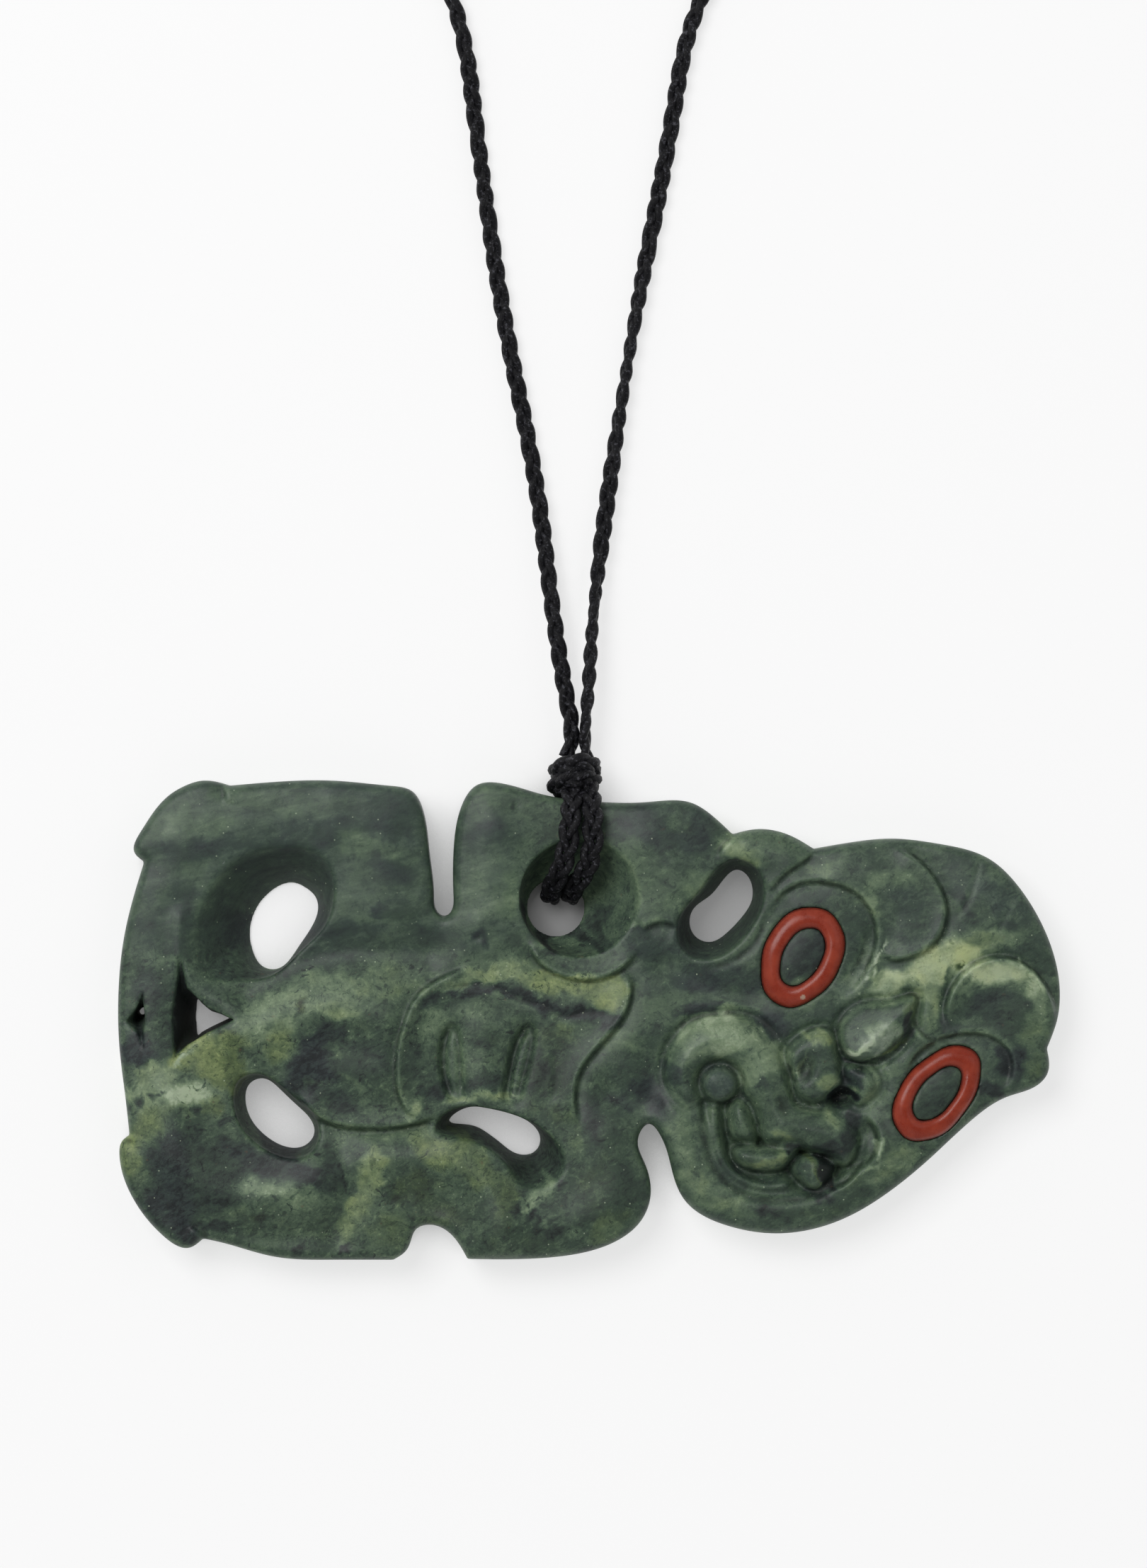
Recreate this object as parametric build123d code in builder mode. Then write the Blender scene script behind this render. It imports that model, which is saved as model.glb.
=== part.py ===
from build123d import *
import math
import os

# A carved greenstone figure that lies flat on its back with the head to the right (+X), on a plaited
# neck cord that runs up the surface (+Y) to a plain clasp. Millimetres, +Z up, the origin at the middle
# of the stone's outline, on the surface that it lies on.

# Driving dimensions of the stone
pendant_length = 110.0
pendant_width = 56.0
ground_thickness = 7.6
relief_height = 1.4
edge_round = 2.0
form_round = 0.8
shoulder_share = 0.2
mouth_depth = 1.6
groove_width = 1.6

# The two inlaid rings
ring_bed_depth = 1.3
ring_proud = 0.55
ring_gap = 0.05
ring_edge = 0.5

# The hanging hole and the room for the doubled cord behind it
hole_radius = 3.25
dish_radius = 6.9
back_flare = 1.2
throat_height = 2.6
back_channel_depth = 1.8
cord_clearance = 0.15
over_clearance = 0.2
floor_clearance = 0.1
throat_share = 0.37
throat_rise = 0.6
dish_reach = 5.6
bight_radii = [2.5, 2.5, 2.5, 1.0, 1.0]

# The plaited cord, its knot and its clasp
cord_width = 2.4
cord_thickness = 1.5
cord_corner_share = 0.45
strand_gap = 0.1
arc_share = 0.45
knot_length = 4.4
knot_width = 6.4
knot_height = 6.4
knot_base = 0.8
knot_facet = 1.4
knot_round = 0.7
knot_gap = 0.2
lead_length = 3.0
clasp_length = 24.0
clasp_diameter = 6.0
clasp_end_diameter = 3.4
clasp_taper_length = 4.0
clasp_lead_length = 6.5

# The tables count the stone's length in 110 parts and its width in 56, from the middle of the stone.
part_along = pendant_length / 110
part_across = pendant_width / 56

# The outline clockwise from the upper left, one list for each stretch between two sharp corners.
# Columns: along, across, and the share of the edge rounding that there is room for.
outline = {
    "knee": [
        (-52.0, 18.5, 0.6), (-53.2, 19.7, 0.4), (-52.3, 22.2, 0.8), (-51.0, 24.2, 1.0),
        (-49.2, 26.2, 1.0), (-47.0, 27.5, 1.0), (-45.2, 28.0, 1.0), (-43.4, 27.8, 1.0),
    ],
    "thigh and shoulder": [
        (-42.1, 27.4, 1.0), (-36.0, 27.9, 1.0), (-30.0, 28.0, 1.0), (-23.3, 27.4, 1.0),
        (-20.8, 26.8, 1.0), (-19.2, 24.3, 1.0), (-18.2, 19.5, 0.9), (-17.9, 13.8, 0.8),
        (-16.8, 12.0, 0.7), (-15.8, 13.5, 0.6), (-15.8, 20.5, 0.7), (-15.0, 24.8, 0.9),
        (-13.1, 27.5, 1.0), (-9.8, 27.6, 1.0), (-5.5, 26.4, 1.0), (1.3, 25.5, 1.0),
        (7.0, 25.5, 1.0), (12.0, 25.4, 1.0), (14.3, 24.0, 1.0),
    ],
    "ear": [(16.8, 21.7, 0.9), (19.5, 22.3, 1.0), (23.0, 21.8, 1.0)],
    "brow": [
        (26.3, 20.0, 1.0), (31.0, 20.8, 1.0), (35.5, 21.2, 1.0), (41.0, 20.6, 1.0),
        (46.7, 18.9, 1.0), (50.3, 15.5, 1.0), (53.4, 10.2, 1.0), (54.9, 5.0, 1.0), (54.8, 0.4, 1.0),
    ],
    "chin, neck and elbow": [
        (53.5, -3.3, 0.9), (53.6, -6.2, 0.7), (52.4, -7.6, 0.7), (49.0, -8.9, 1.0),
        (44.8, -11.6, 1.0), (40.0, -16.0, 1.0), (35.0, -20.1, 1.0), (29.5, -23.3, 1.0),
        (22.5, -24.9, 1.0), (16.5, -24.1, 1.0), (11.0, -20.8, 1.0), (9.8, -18.0, 0.9),
        (8.3, -13.4, 0.7), (7.0, -12.1, 0.7), (5.8, -13.5, 0.7), (6.6, -17.0, 0.9),
        (7.2, -20.5, 1.0), (6.1, -23.4, 1.0), (3.0, -25.9, 1.0), (-2.0, -27.4, 1.0), (-8.0, -27.9, 1.0),
    ],
    "bottom notch": [
        (-14.2, -27.9, 0.8), (-15.1, -26.3, 0.8), (-16.5, -24.7, 0.8), (-18.6, -23.9, 0.8),
        (-20.2, -24.4, 0.8), (-21.2, -26.7, 0.9),
    ],
    "foot": [(-22.9, -28.0, 0.9), (-30.0, -28.0, 1.0), (-37.0, -27.6, 1.0), (-42.5, -26.1, 1.0)],
    "heel": [
        (-45.1, -25.5, 0.7), (-46.7, -26.6, 0.6), (-50.0, -25.0, 1.0), (-53.2, -21.0, 1.0),
        (-54.9, -15.8, 0.8), (-54.6, -14.1, 0.6),
    ],
    "base": [
        (-53.7, -13.4, 0.8), (-54.2, -9.0, 1.0), (-54.9, -3.0, 1.0), (-55.0, 3.5, 1.0), (-54.3, 10.0, 1.0),
    ],
}

# The rounding of the stone's edge, from the back up. Columns: share of the thickness, and how far the
# edge is drawn in there, as a share of the rounding.
edge_profile = [(0.0, 0.45), (0.08, 0.12), (0.26, 0.0), (0.6, 0.05), (0.86, 0.42), (1.0, 1.0)]

# Openings that go right through, clockwise. Columns: along and across of the rim in front, then of the
# rim at the back.
piercings = {
    "thigh opening": [
        (-35.0, 20.3, -34.8, 15.9), (-31.8, 19.6, -33.3, 15.3), (-29.9, 17.4, -32.2, 14.3),
        (-29.7, 14.3, -31.9, 13.0), (-30.9, 10.7, -32.4, 11.3), (-33.6, 8.0, -34.3, 8.3),
        (-36.8, 5.3, -36.7, 5.9), (-41.0, 4.2, -38.3, 6.2), (-45.2, 5.2, -39.3, 7.7),
        (-46.3, 8.6, -39.7, 9.8), (-45.2, 13.4, -39.2, 12.4), (-41.2, 18.8, -37.4, 14.8),
    ],
    "leg opening": [
        (-38.8, -6.2, -38.3, -7.0), (-36.2, -7.4, -36.4, -8.2), (-33.6, -9.6, -34.2, -10.3),
        (-31.7, -11.4, -32.7, -11.9), (-31.4, -13.6, -32.3, -13.3), (-32.6, -15.6, -33.4, -14.8),
        (-35.6, -16.0, -35.4, -15.0), (-38.6, -14.6, -37.8, -13.8), (-40.8, -12.2, -39.5, -12.0),
        (-41.6, -9.4, -40.3, -9.6), (-41.0, -7.0, -39.8, -7.6),
    ],
    "arm opening": [
        (-12.0, -10.2, -12.0, -10.4), (-8.2, -11.2, -9.2, -11.1), (-5.2, -12.8, -6.8, -12.3),
        (-3.2, -15.0, -5.8, -13.8), (-3.0, -17.6, -6.1, -15.2), (-5.0, -19.4, -7.4, -15.9),
        (-8.0, -19.2, -8.9, -15.6), (-9.8, -16.6, -10.4, -14.5), (-12.0, -14.8, -12.0, -13.3),
        (-15.2, -13.7, -14.0, -12.4), (-18.2, -12.6, -16.4, -11.9), (-17.0, -10.9, -15.4, -10.9),
    ],
    "ear opening": [
        (17.2, 18.9, 17.5, 17.5), (19.4, 18.0, 18.5, 16.9), (20.4, 15.8, 19.1, 15.7),
        (20.2, 13.4, 19.1, 14.0), (18.8, 10.6, 18.0, 12.1), (16.6, 8.2, 16.2, 10.2),
        (13.6, 7.0, 14.2, 9.1), (11.0, 7.9, 12.6, 9.7), (10.2, 10.2, 11.9, 11.0),
        (11.0, 12.8, 12.3, 12.9), (13.2, 15.4, 14.2, 14.4), (15.0, 17.9, 15.9, 16.4),
    ],
}

# Openings with straight sides between sharp corners, in the same columns.
cut_piercings = {
    "hip opening": [
        (-47.8, 7.0, -46.2, 3.0), (-46.9, 3.8, -45.7, 2.1), (-44.6, 1.5, -44.4, 0.9),
        (-41.3, 0.1, -42.1, 0.2), (-44.5, -1.4, -44.4, -0.9), (-46.7, -2.8, -45.6, -1.5),
        (-48.6, -4.6, -46.2, -2.0), (-48.9, 1.0, -46.4, 0.6),
    ],
    "base star": [
        (-51.8, 3.6, -51.8, 1.9), (-51.8, 0.3, -51.8, 1.0), (-52.0, -3.2, -51.9, 0.1),
        (-53.1, -1.1, -52.3, 0.3), (-54.3, 0.4, -52.8, 0.7), (-53.5, 2.0, -52.4, 1.3),
    ],
}

# Raised forms, clockwise: how high each stands as a share of the relief, the share of the form rounding
# that there is room for, and its outline.
raised = {
    "hand": (0.75, 1.0, [
        (-17.5, 4.6), (-12.0, 6.3), (-6.5, 5.8), (-1.0, 4.6), (4.0, 4.2), (4.4, 1.2), (1.2, -2.4),
        (-1.4, -6.0), (-1.8, -9.5), (-3.6, -11.8), (-7.0, -10.9), (-12.0, -9.9), (-17.0, -10.6),
        (-20.4, -11.2), (-22.2, -7.5), (-22.3, -3.5), (-20.9, 1.6),
    ]),
    "torso": (0.5, 1.0, [
        (-41.0, 0.6), (-35.0, 3.2), (-28.0, 4.4), (-22.4, 3.2), (-23.4, -2.0), (-23.8, -7.0),
        (-22.6, -11.2), (-26.4, -11.8), (-31.0, -9.6), (-36.4, -5.0), (-42.0, -4.8), (-45.6, -6.4),
        (-44.6, -3.2),
    ]),
    "brow": (0.4, 0.3, [
        (25.2, 17.6), (29.0, 18.8), (34.0, 19.2), (38.4, 17.8), (41.0, 14.8), (41.4, 11.6),
        (39.6, 9.0), (36.8, 8.0), (34.9, 9.2), (34.4, 12.0), (32.6, 14.8), (29.8, 16.4), (27.0, 16.9),
    ]),
    "second brow": (0.9, 1.0, [
        (41.6, 1.0), (42.6, 4.2), (45.0, 6.6), (48.4, 7.2), (51.2, 5.8), (52.4, 2.8), (51.9, -0.4),
        (49.6, -2.6), (46.6, -1.8), (43.4, -1.6),
    ]),
    "upper jaw": (1.0, 1.0, [
        (9.0, -6.0), (9.6, -3.2), (12.0, -0.8), (16.0, 0.2), (19.6, -0.4), (22.4, -3.4),
        (23.8, -7.6), (25.0, -10.4), (29.6, -11.0), (31.2, -14.2), (29.6, -16.6), (26.2, -15.5),
        (21.4, -14.8), (19.8, -13.2), (19.0, -10.4), (18.0, -6.6), (15.6, -4.6), (12.8, -6.0),
        (11.2, -8.0),
    ]),
    "nostril": (0.9, 1.0, [
        (26.4, -1.1), (28.3, -1.5), (29.1, -3.6), (29.0, -6.4), (27.6, -8.8), (25.4, -9.4),
        (24.6, -7.0), (23.9, -4.0), (24.6, -2.2),
    ]),
    "nose": (0.8, 0.8, [
        (38.2, 2.8), (37.7, 0.6), (36.2, -2.2), (33.6, -4.4), (31.2, -4.8), (29.9, -3.6),
        (29.3, -1.5), (29.6, 0.2), (30.8, 1.5), (32.8, 2.2), (35.2, 2.4),
    ]),
    "lower lip": (0.2, 0.5, [
        (17.4, -16.2), (18.8, -15.8), (21.4, -16.1), (24.2, -16.5), (23.4, -17.4), (20.8, -18.0),
        (18.4, -17.6),
    ]),
    "cheek boss": (0.8, 0.8, [
        (13.1, -7.4), (13.8, -6.0), (15.2, -5.4), (16.7, -6.1), (17.3, -7.5), (16.6, -8.9),
        (15.2, -9.5), (13.8, -8.8),
    ]),
}

# The pocket that the mouth's forms stand in.
mouth = [
    (13.2, -10.2), (16.0, -10.2), (18.6, -9.6), (20.6, -12.0), (24.0, -13.6), (28.6, -13.4),
    (31.0, -15.4), (29.4, -18.2), (26.0, -20.2), (21.4, -20.4), (17.4, -19.4), (14.6, -17.0),
    (13.4, -13.4),
]

# The two ends of each groove between the fingers.
grooves = {
    "first finger": ((-16.2, -0.8), (-16.6, -9.4)),
    "second finger": ((-7.0, -0.8), (-9.4, -8.6)),
}

# The rings round the eyes. Columns: along and across of the middle, half the length and half the width
# of the outside and of the inside, and the turn in degrees.
eye_rings = {
    "upper_eye_ring": (24.85, 7.45, 6.15, 4.5, 3.7, 2.25, -31.0),
    "lower_eye_ring": (40.6, -8.5, 6.35, 4.05, 3.75, 2.05, -40.0),
}

# The hanging hole: the middle of its throat and of the dish round it, along and across, and the edge of
# the stone above it.
hole_spot = (-3.9, 13.1)
dish_spot = (-1.2, 14.3)
bar_edge_across = 25.9

# Chosen points of the neck cord between the knot and the clasp: sideways and onward from the middle of
# the knot's upper face, and up from the surface.
left_cord_points = [
    (-1.4, 8.2, 3.6), (-2.9, 17.8, 2.8), (-4.7, 33.0, 1.5), (-8.6, 51.5, 1.2), (-11.3, 70.0, 1.2),
    (-13.6, 89.0, 1.2), (-21.5, 103.0, 1.2), (-35.0, 119.5, 1.2), (-47.0, 140.0, 1.2),
    (-51.5, 166.0, 1.2), (-49.5, 193.0, 1.2), (-38.0, 217.0, 1.2), (-27.5, 228.8, 1.4),
]
right_cord_points = [
    (1.4, 8.2, 3.6), (1.9, 17.5, 2.8), (3.9, 33.0, 1.5), (6.8, 52.0, 1.2), (10.5, 70.5, 1.2),
    (13.5, 89.5, 1.2), (24.0, 104.0, 1.2), (38.0, 120.5, 1.2), (50.5, 141.0, 1.2),
    (54.8, 167.0, 1.2), (52.5, 193.5, 1.2), (42.0, 217.5, 1.2), (31.0, 228.8, 1.4),
]
# The middle of the clasp, from the middle of the knot's upper face.
clasp_sideways = 1.5
clasp_onward = 234.8

# Heights that several pieces share
cutter_margin = 1.0
front_level = ground_thickness + relief_height + cutter_margin
below_back = -0.3
ring_bed = ground_thickness - ring_bed_depth

# The doubled cord and the knot lie in an upright plane through the hole, turned from straight across.
bight_turn = 8.0
hole_middle = Vector(hole_spot[0] * part_along, hole_spot[1] * part_across, 0.0)
onward = Vector(math.sin(math.radians(bight_turn)), math.cos(math.radians(bight_turn)), 0.0)
bight_plane = Plane(origin=hole_middle, x_dir=onward, z_dir=onward.cross(Vector(0, 0, 1)))
bight_width = 2 * cord_width
cord_spread = (cord_width + strand_gap) / 2

# Along that plane, from the middle of the hole: the stone's edge and the two faces of the knot.
bar_reach = (bar_edge_across * part_across - hole_middle.Y) / onward.Y
knot_start = bar_reach + knot_gap
knot_end = knot_start + knot_length
knot_middle = knot_base + knot_height / 2
knot_crown = knot_base + knot_height


def spot(along, across):
    return (along * part_along, across * part_across)


def drawn_in(points, amounts):
    # Points of a clockwise loop, each moved towards its inside by its own amount.
    moved = []
    for k, (x, y) in enumerate(points):
        before = points[k - 1]
        after = points[(k + 1) % len(points)]
        dx = after[0] - before[0]
        dy = after[1] - before[1]
        length = math.hypot(dx, dy)
        moved.append((x + dy / length * amounts[k], y - dx / length * amounts[k]))
    return moved


def stone_section(height, depth):
    # One level of the stone: a spline for each stretch, meeting the next one at a corner.
    rows = [row for stretch in outline.values() for row in stretch]
    points = [spot(along, across) for along, across, room in rows]
    loop = drawn_in(points, [depth * room for along, across, room in rows])
    loop.append(loop[0])
    with BuildSketch(Plane.XY.offset(height)) as section:
        with BuildLine():
            start = 0
            for stretch in outline.values():
                Spline(loop[start:start + len(stretch) + 1])
                start += len(stretch)
        make_face()
    return section.sketch


def loop_section(height, points):
    with BuildSketch(Plane.XY.offset(height)) as section:
        with BuildLine():
            Spline(points, periodic=True)
        make_face()
    return section.sketch


def straight_section(height, points):
    with BuildSketch(Plane.XY.offset(height)) as section:
        with BuildLine():
            Polyline(points, close=True)
        make_face()
    return section.sketch


def circle_section(height, middle, radius):
    with BuildSketch(Plane.XY.offset(height)) as section:
        with Locations(spot(*middle)):
            Circle(radius)
    return section.sketch


def ring_section(height, ring, grow):
    along, across, long_out, short_out, long_in, short_in, turn = eye_rings[ring]
    with BuildSketch(Plane.XY.offset(height)) as section:
        with Locations(spot(along, across)):
            Ellipse(short_out + grow, long_out + grow, rotation=turn)
            Ellipse(short_in - grow, long_in - grow, rotation=turn, mode=Mode.SUBTRACT)
    return section.sketch


def opening_levels(rows):
    # Two levels beyond the stone's faces, on the straight lines from the back rim to the front rim.
    levels = []
    for height in (below_back, front_level):
        share = height / ground_thickness
        points = []
        for front_along, front_across, back_along, back_across in rows:
            along = back_along + (front_along - back_along) * share
            across = back_across + (front_across - back_across) * share
            points.append(spot(along, across))
        levels.append((height, points))
    return levels


def form_sections(rise, rounding, rows):
    # A raised form stands on the floor of the mouth's pocket and is rounded towards its top.
    foot = [spot(along, across) for along, across in rows]
    shoulder = drawn_in(foot, [rounding * shoulder_share] * len(foot))
    crown = drawn_in(foot, [rounding] * len(foot))
    return [
        loop_section(ground_thickness - mouth_depth, foot),
        loop_section(ground_thickness + rise / 2, shoulder),
        loop_section(ground_thickness + rise, crown),
    ]


def groove_section(height, start, end):
    line = Edge.make_line(spot(*start), spot(*end))
    with BuildSketch(Plane.XY.offset(height)) as section:
        with Locations(line @ 0.5):
            SlotOverall(line.length, groove_width, rotation=line.tangent_angle_at(0.5))
    return section.sketch


def corner_radii(route):
    # Each arc is as large as its two runs allow.
    radii = []
    for before, corner, after in zip(route, route[1:], route[2:]):
        turn = math.radians((corner - before).get_angle(after - corner))
        shorter = min((corner - before).length, (after - corner).length)
        radii.append(arc_share * shorter / math.tan(turn / 2))
    return radii


def neck_route(side, chosen):
    # The points of one side of the neck cord, from the knot's upper face to the clasp's end.
    start, lead = (
        bight_plane.from_local_coords(Vector(reach, knot_middle, side * cord_spread))
        for reach in (knot_end, knot_end + lead_length)
    )
    origin = bight_plane.from_local_coords(Vector(knot_end, 0.0, 0.0))
    clasp_end = origin + Vector(clasp_sideways + side * clasp_length / 2, clasp_onward, clasp_diameter / 2)
    clasp_lead = clasp_end + Vector(side * clasp_lead_length, 0.0, 0.0)
    return [start, lead] + [origin + Vector(*point) for point in chosen] + [clasp_lead, clasp_end]


def report_cord(name, path, section_area, volume, radii):
    arcs = ", ".join(f"{radius:.1f}" for radius in radii)
    print(f"{name}: length {path.length:.1f} mm, volume {volume:.1f} mm3 against "
          f"{section_area * path.length:.1f} mm3, arc radii {arcs} mm")


os.makedirs("parts", exist_ok=True)

# The stone: its ground form, the pocket of the mouth, the raised forms, and what goes through them.
with BuildPart() as tiki_body:
    loft([stone_section(ground_thickness * share, edge_round * depth) for share, depth in edge_profile])
    mouth_floor = loop_section(ground_thickness - mouth_depth, [spot(*row) for row in mouth])
    extrude(mouth_floor, amount=mouth_depth, dir=(0, 0, 1), mode=Mode.SUBTRACT)
    for share, room, rows in raised.values():
        loft(form_sections(relief_height * share, form_round * room, rows))
    for start, end in grooves.values():
        extrude(groove_section(ground_thickness, start, end), amount=relief_height, mode=Mode.SUBTRACT)
    for rows in piercings.values():
        loft([loop_section(*level) for level in opening_levels(rows)], mode=Mode.SUBTRACT)
    for rows in cut_piercings.values():
        loft([straight_section(*level) for level in opening_levels(rows)], ruled=True, mode=Mode.SUBTRACT)
    throat = circle_section(throat_height, hole_spot, hole_radius)
    loft([throat, circle_section(ground_thickness, dish_spot, dish_radius)], mode=Mode.SUBTRACT)
    loft([circle_section(0.0, hole_spot, hole_radius + back_flare), throat], mode=Mode.SUBTRACT)
    with BuildSketch(Plane(origin=hole_middle, x_dir=onward, z_dir=(0, 0, 1))):
        Rectangle(knot_end, bight_width + 2 * cord_clearance, align=(Align.MIN, Align.CENTER))
    extrude(amount=back_channel_depth, mode=Mode.SUBTRACT)
    for ring in eye_rings:
        bed = ring_section(ring_bed, ring, ring_gap)
        extrude(bed, amount=ring_bed_depth + relief_height, mode=Mode.SUBTRACT)
tiki_body.part.label = "tiki_body"
export_step(tiki_body.part, "parts/tiki_body.step")

# The wax rings stand a little proud of their beds, with rounded upper edges.
for ring in eye_rings:
    with BuildPart() as eye_ring:
        extrude(ring_section(ring_bed, ring, 0.0), amount=ring_bed_depth + ring_proud)
        fillet(eye_ring.faces().sort_by(Axis.Z)[-1].edges(), ring_edge)
    eye_ring.part.label = ring
    export_step(eye_ring.part, f"parts/{ring}.step")

# The knot, with facets where the doubled cord runs into it and a flat face where the neck cord leaves.
with BuildPart() as cord_knot:
    with BuildSketch(bight_plane):
        with BuildLine():
            Polyline(
                (knot_start, knot_base + knot_facet), (knot_start + knot_facet, knot_base),
                (knot_end - knot_facet / 2, knot_base), (knot_end, knot_base + knot_facet / 2),
                (knot_end, knot_crown - knot_facet / 2), (knot_end - knot_facet / 2, knot_crown),
                (knot_start + knot_facet, knot_crown), (knot_start, knot_crown - knot_facet), close=True,
            )
        make_face()
    extrude(amount=knot_width / 2, both=True)
    sides = cord_knot.faces().sort_by(Axis(bight_plane.origin, bight_plane.z_dir))
    fillet(sides[0].edges() + sides[-1].edges(), knot_round)
cord_knot.part.label = "cord_knot"
export_step(cord_knot.part, "parts/cord_knot.step")

# The doubled cord: over the front of the stone, down through the hole and back up behind.
over_front = ground_thickness + cord_thickness / 2 + over_clearance
under_back = cord_thickness / 2 + floor_clearance
facet_middle = knot_start + knot_facet / 2
front_mouth = knot_crown - knot_facet / 2
back_mouth = knot_base + knot_facet / 2
in_throat = hole_radius * throat_share
bight_points = [
    (facet_middle, front_mouth),
    (facet_middle - (over_front - front_mouth), over_front),
    (dish_reach, over_front),
    (in_throat, throat_height + throat_rise),
    (in_throat, under_back),
    (facet_middle - (back_mouth - under_back), under_back),
    (facet_middle, back_mouth),
]
with BuildPart() as cord_bight:
    with BuildLine(bight_plane) as bight_path:
        FilletPolyline(bight_points, radius=bight_radii)
    bight_start = Plane(bight_path.line @ 0, x_dir=bight_plane.z_dir, z_dir=bight_path.line % 0)
    with BuildSketch(bight_start) as bight_section:
        RectangleRounded(bight_width, cord_thickness, cord_thickness * cord_corner_share)
    sweep(path=bight_path.line)
cord_bight.part.label = "cord_bight"
area = bight_section.sketch.area
report_cord("cord_bight", bight_path.wires()[0], area, cord_bight.part.volume, bight_radii)
export_step(cord_bight.part, "parts/cord_bight.step")

# The two sides of the neck cord lie on the surface, from the knot to the clasp.
routes = {
    "neck_cord_left": neck_route(-1, left_cord_points),
    "neck_cord_right": neck_route(1, right_cord_points),
}
for name, route in routes.items():
    with BuildPart() as neck_cord:
        with BuildLine() as neck_path:
            FilletPolyline(route, radius=corner_radii(route))
        with BuildSketch(Plane(origin=neck_path.line @ 0, z_dir=neck_path.line % 0)) as neck_section:
            Circle(cord_width / 2)
        sweep(path=neck_path.line)
    neck_cord.part.label = name
    area = neck_section.sketch.area
    report_cord(name, neck_path.wires()[0], area, neck_cord.part.volume, corner_radii(route))
    export_step(neck_cord.part, f"parts/{name}.step")

# The clasp: a plain barrel that the two cords run into.
clasp_middle = (routes["neck_cord_left"][-1] + routes["neck_cord_right"][-1]) / 2
with BuildPart() as barrel_clasp:
    with BuildSketch(Plane(origin=clasp_middle, x_dir=(1, 0, 0), z_dir=(0, -1, 0))):
        with BuildLine():
            half = clasp_length / 2
            Polyline(
                (-half, 0), (-half, clasp_end_diameter / 2), (clasp_taper_length - half, clasp_diameter / 2),
                (half - clasp_taper_length, clasp_diameter / 2), (half, clasp_end_diameter / 2), (half, 0),
                close=True,
            )
        make_face()
    revolve(axis=Axis(clasp_middle, (1, 0, 0)))
barrel_clasp.part.label = "barrel_clasp"
export_step(barrel_clasp.part, "parts/barrel_clasp.step")
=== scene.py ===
import math

import bpy
import numpy as np
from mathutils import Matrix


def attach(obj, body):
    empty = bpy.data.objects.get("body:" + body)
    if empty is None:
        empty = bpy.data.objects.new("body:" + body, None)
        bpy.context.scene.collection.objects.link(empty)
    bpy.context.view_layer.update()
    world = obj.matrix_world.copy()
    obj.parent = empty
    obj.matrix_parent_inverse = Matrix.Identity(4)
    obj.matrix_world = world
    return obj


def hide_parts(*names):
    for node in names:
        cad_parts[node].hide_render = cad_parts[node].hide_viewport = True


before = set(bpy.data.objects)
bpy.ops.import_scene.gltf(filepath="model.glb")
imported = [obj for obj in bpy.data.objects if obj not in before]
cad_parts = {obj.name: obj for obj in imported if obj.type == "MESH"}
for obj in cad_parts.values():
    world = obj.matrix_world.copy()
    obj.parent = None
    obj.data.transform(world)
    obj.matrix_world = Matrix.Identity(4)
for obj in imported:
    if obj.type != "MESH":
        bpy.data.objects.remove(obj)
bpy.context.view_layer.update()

import openvdb
from mathutils import Vector

# A greenstone hei tiki that lies face up on a pale surface, with its head to the right, two rings of red
# wax round its eyes, and a plaited black neck cord. Lengths in the tables are millimetres.
mm = 0.001


# node trees

class Wire:
    # one output of a node tree; sums on it add Math nodes
    def __init__(self, tree, socket):
        self.tree = tree
        self.socket = socket

    def math(self, operation, first, second=0.0):
        node = addNode(self.tree, "ShaderNodeMath", {"operation": operation}, {0: first, 1: second})
        return Wire(self.tree, node.outputs[0])

    def __add__(self, other):
        return self.math("ADD", self, other)

    __radd__ = __add__

    def __sub__(self, other):
        return self.math("SUBTRACT", self, other)

    def __rsub__(self, other):
        return self.math("SUBTRACT", other, self)

    def __mul__(self, other):
        return self.math("MULTIPLY", self, other)

    __rmul__ = __mul__

    def __truediv__(self, other):
        return self.math("DIVIDE", self, other)


def addNode(tree, kind, settings=None, sockets=None):
    node = tree.nodes.new(kind)
    for name, value in (settings or {}).items():
        if name == "stops":
            ramp = node.color_ramp
            for index, (position, colour) in enumerate(value):
                stop = ramp.elements[index] if index < 2 else ramp.elements.new(position)
                stop.position = position
                stop.color = colour
        else:
            setattr(node, name, value)
    for name, value in (sockets or {}).items():
        if isinstance(value, Wire):
            value = value.socket
        if isinstance(value, bpy.types.NodeSocket):
            tree.links.new(value, node.inputs[name])
        else:
            node.inputs[name].default_value = value
    return node


def take(tree, node, output=0):
    return Wire(tree, node.outputs[output])


def clampTo(tree, value, low, high, toLow=0.0, toHigh=1.0):
    # 0 at low, 1 at high and a smooth step between
    settings = {"interpolation_type": "SMOOTHSTEP"}
    sockets = {"Value": value, "From Min": low, "From Max": high, "To Min": toLow, "To Max": toHigh}
    return take(tree, addNode(tree, "ShaderNodeMapRange", settings, sockets))


def mixColour(tree, factor, first, second, blend="MIX"):
    settings = {"data_type": "RGBA", "blend_type": blend}
    return take(tree, addNode(tree, "ShaderNodeMix", settings, {0: factor, 6: first, 7: second}), 2)


def noise(tree, vector, size, detail=2.0, roughness=0.5, distortion=0.0):
    # size is the width of one blotch, in millimetres
    sockets = {"Vector": vector, "Scale": 1 / (size * mm), "Detail": detail, "Roughness": roughness,
               "Distortion": distortion}
    return take(tree, addNode(tree, "ShaderNodeTexNoise", None, sockets))


def vectorStep(tree, operation, first, second):
    return take(tree, addNode(tree, "ShaderNodeVectorMath", {"operation": operation}, {0: first, 1: second}))


def distanceFrom(tree, spot, place):
    # in metres, from a place in millimetres
    sockets = {0: spot, 1: [number * mm for number in place]}
    return take(tree, addNode(tree, "ShaderNodeVectorMath", {"operation": "DISTANCE"}, sockets), "Value")


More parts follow.
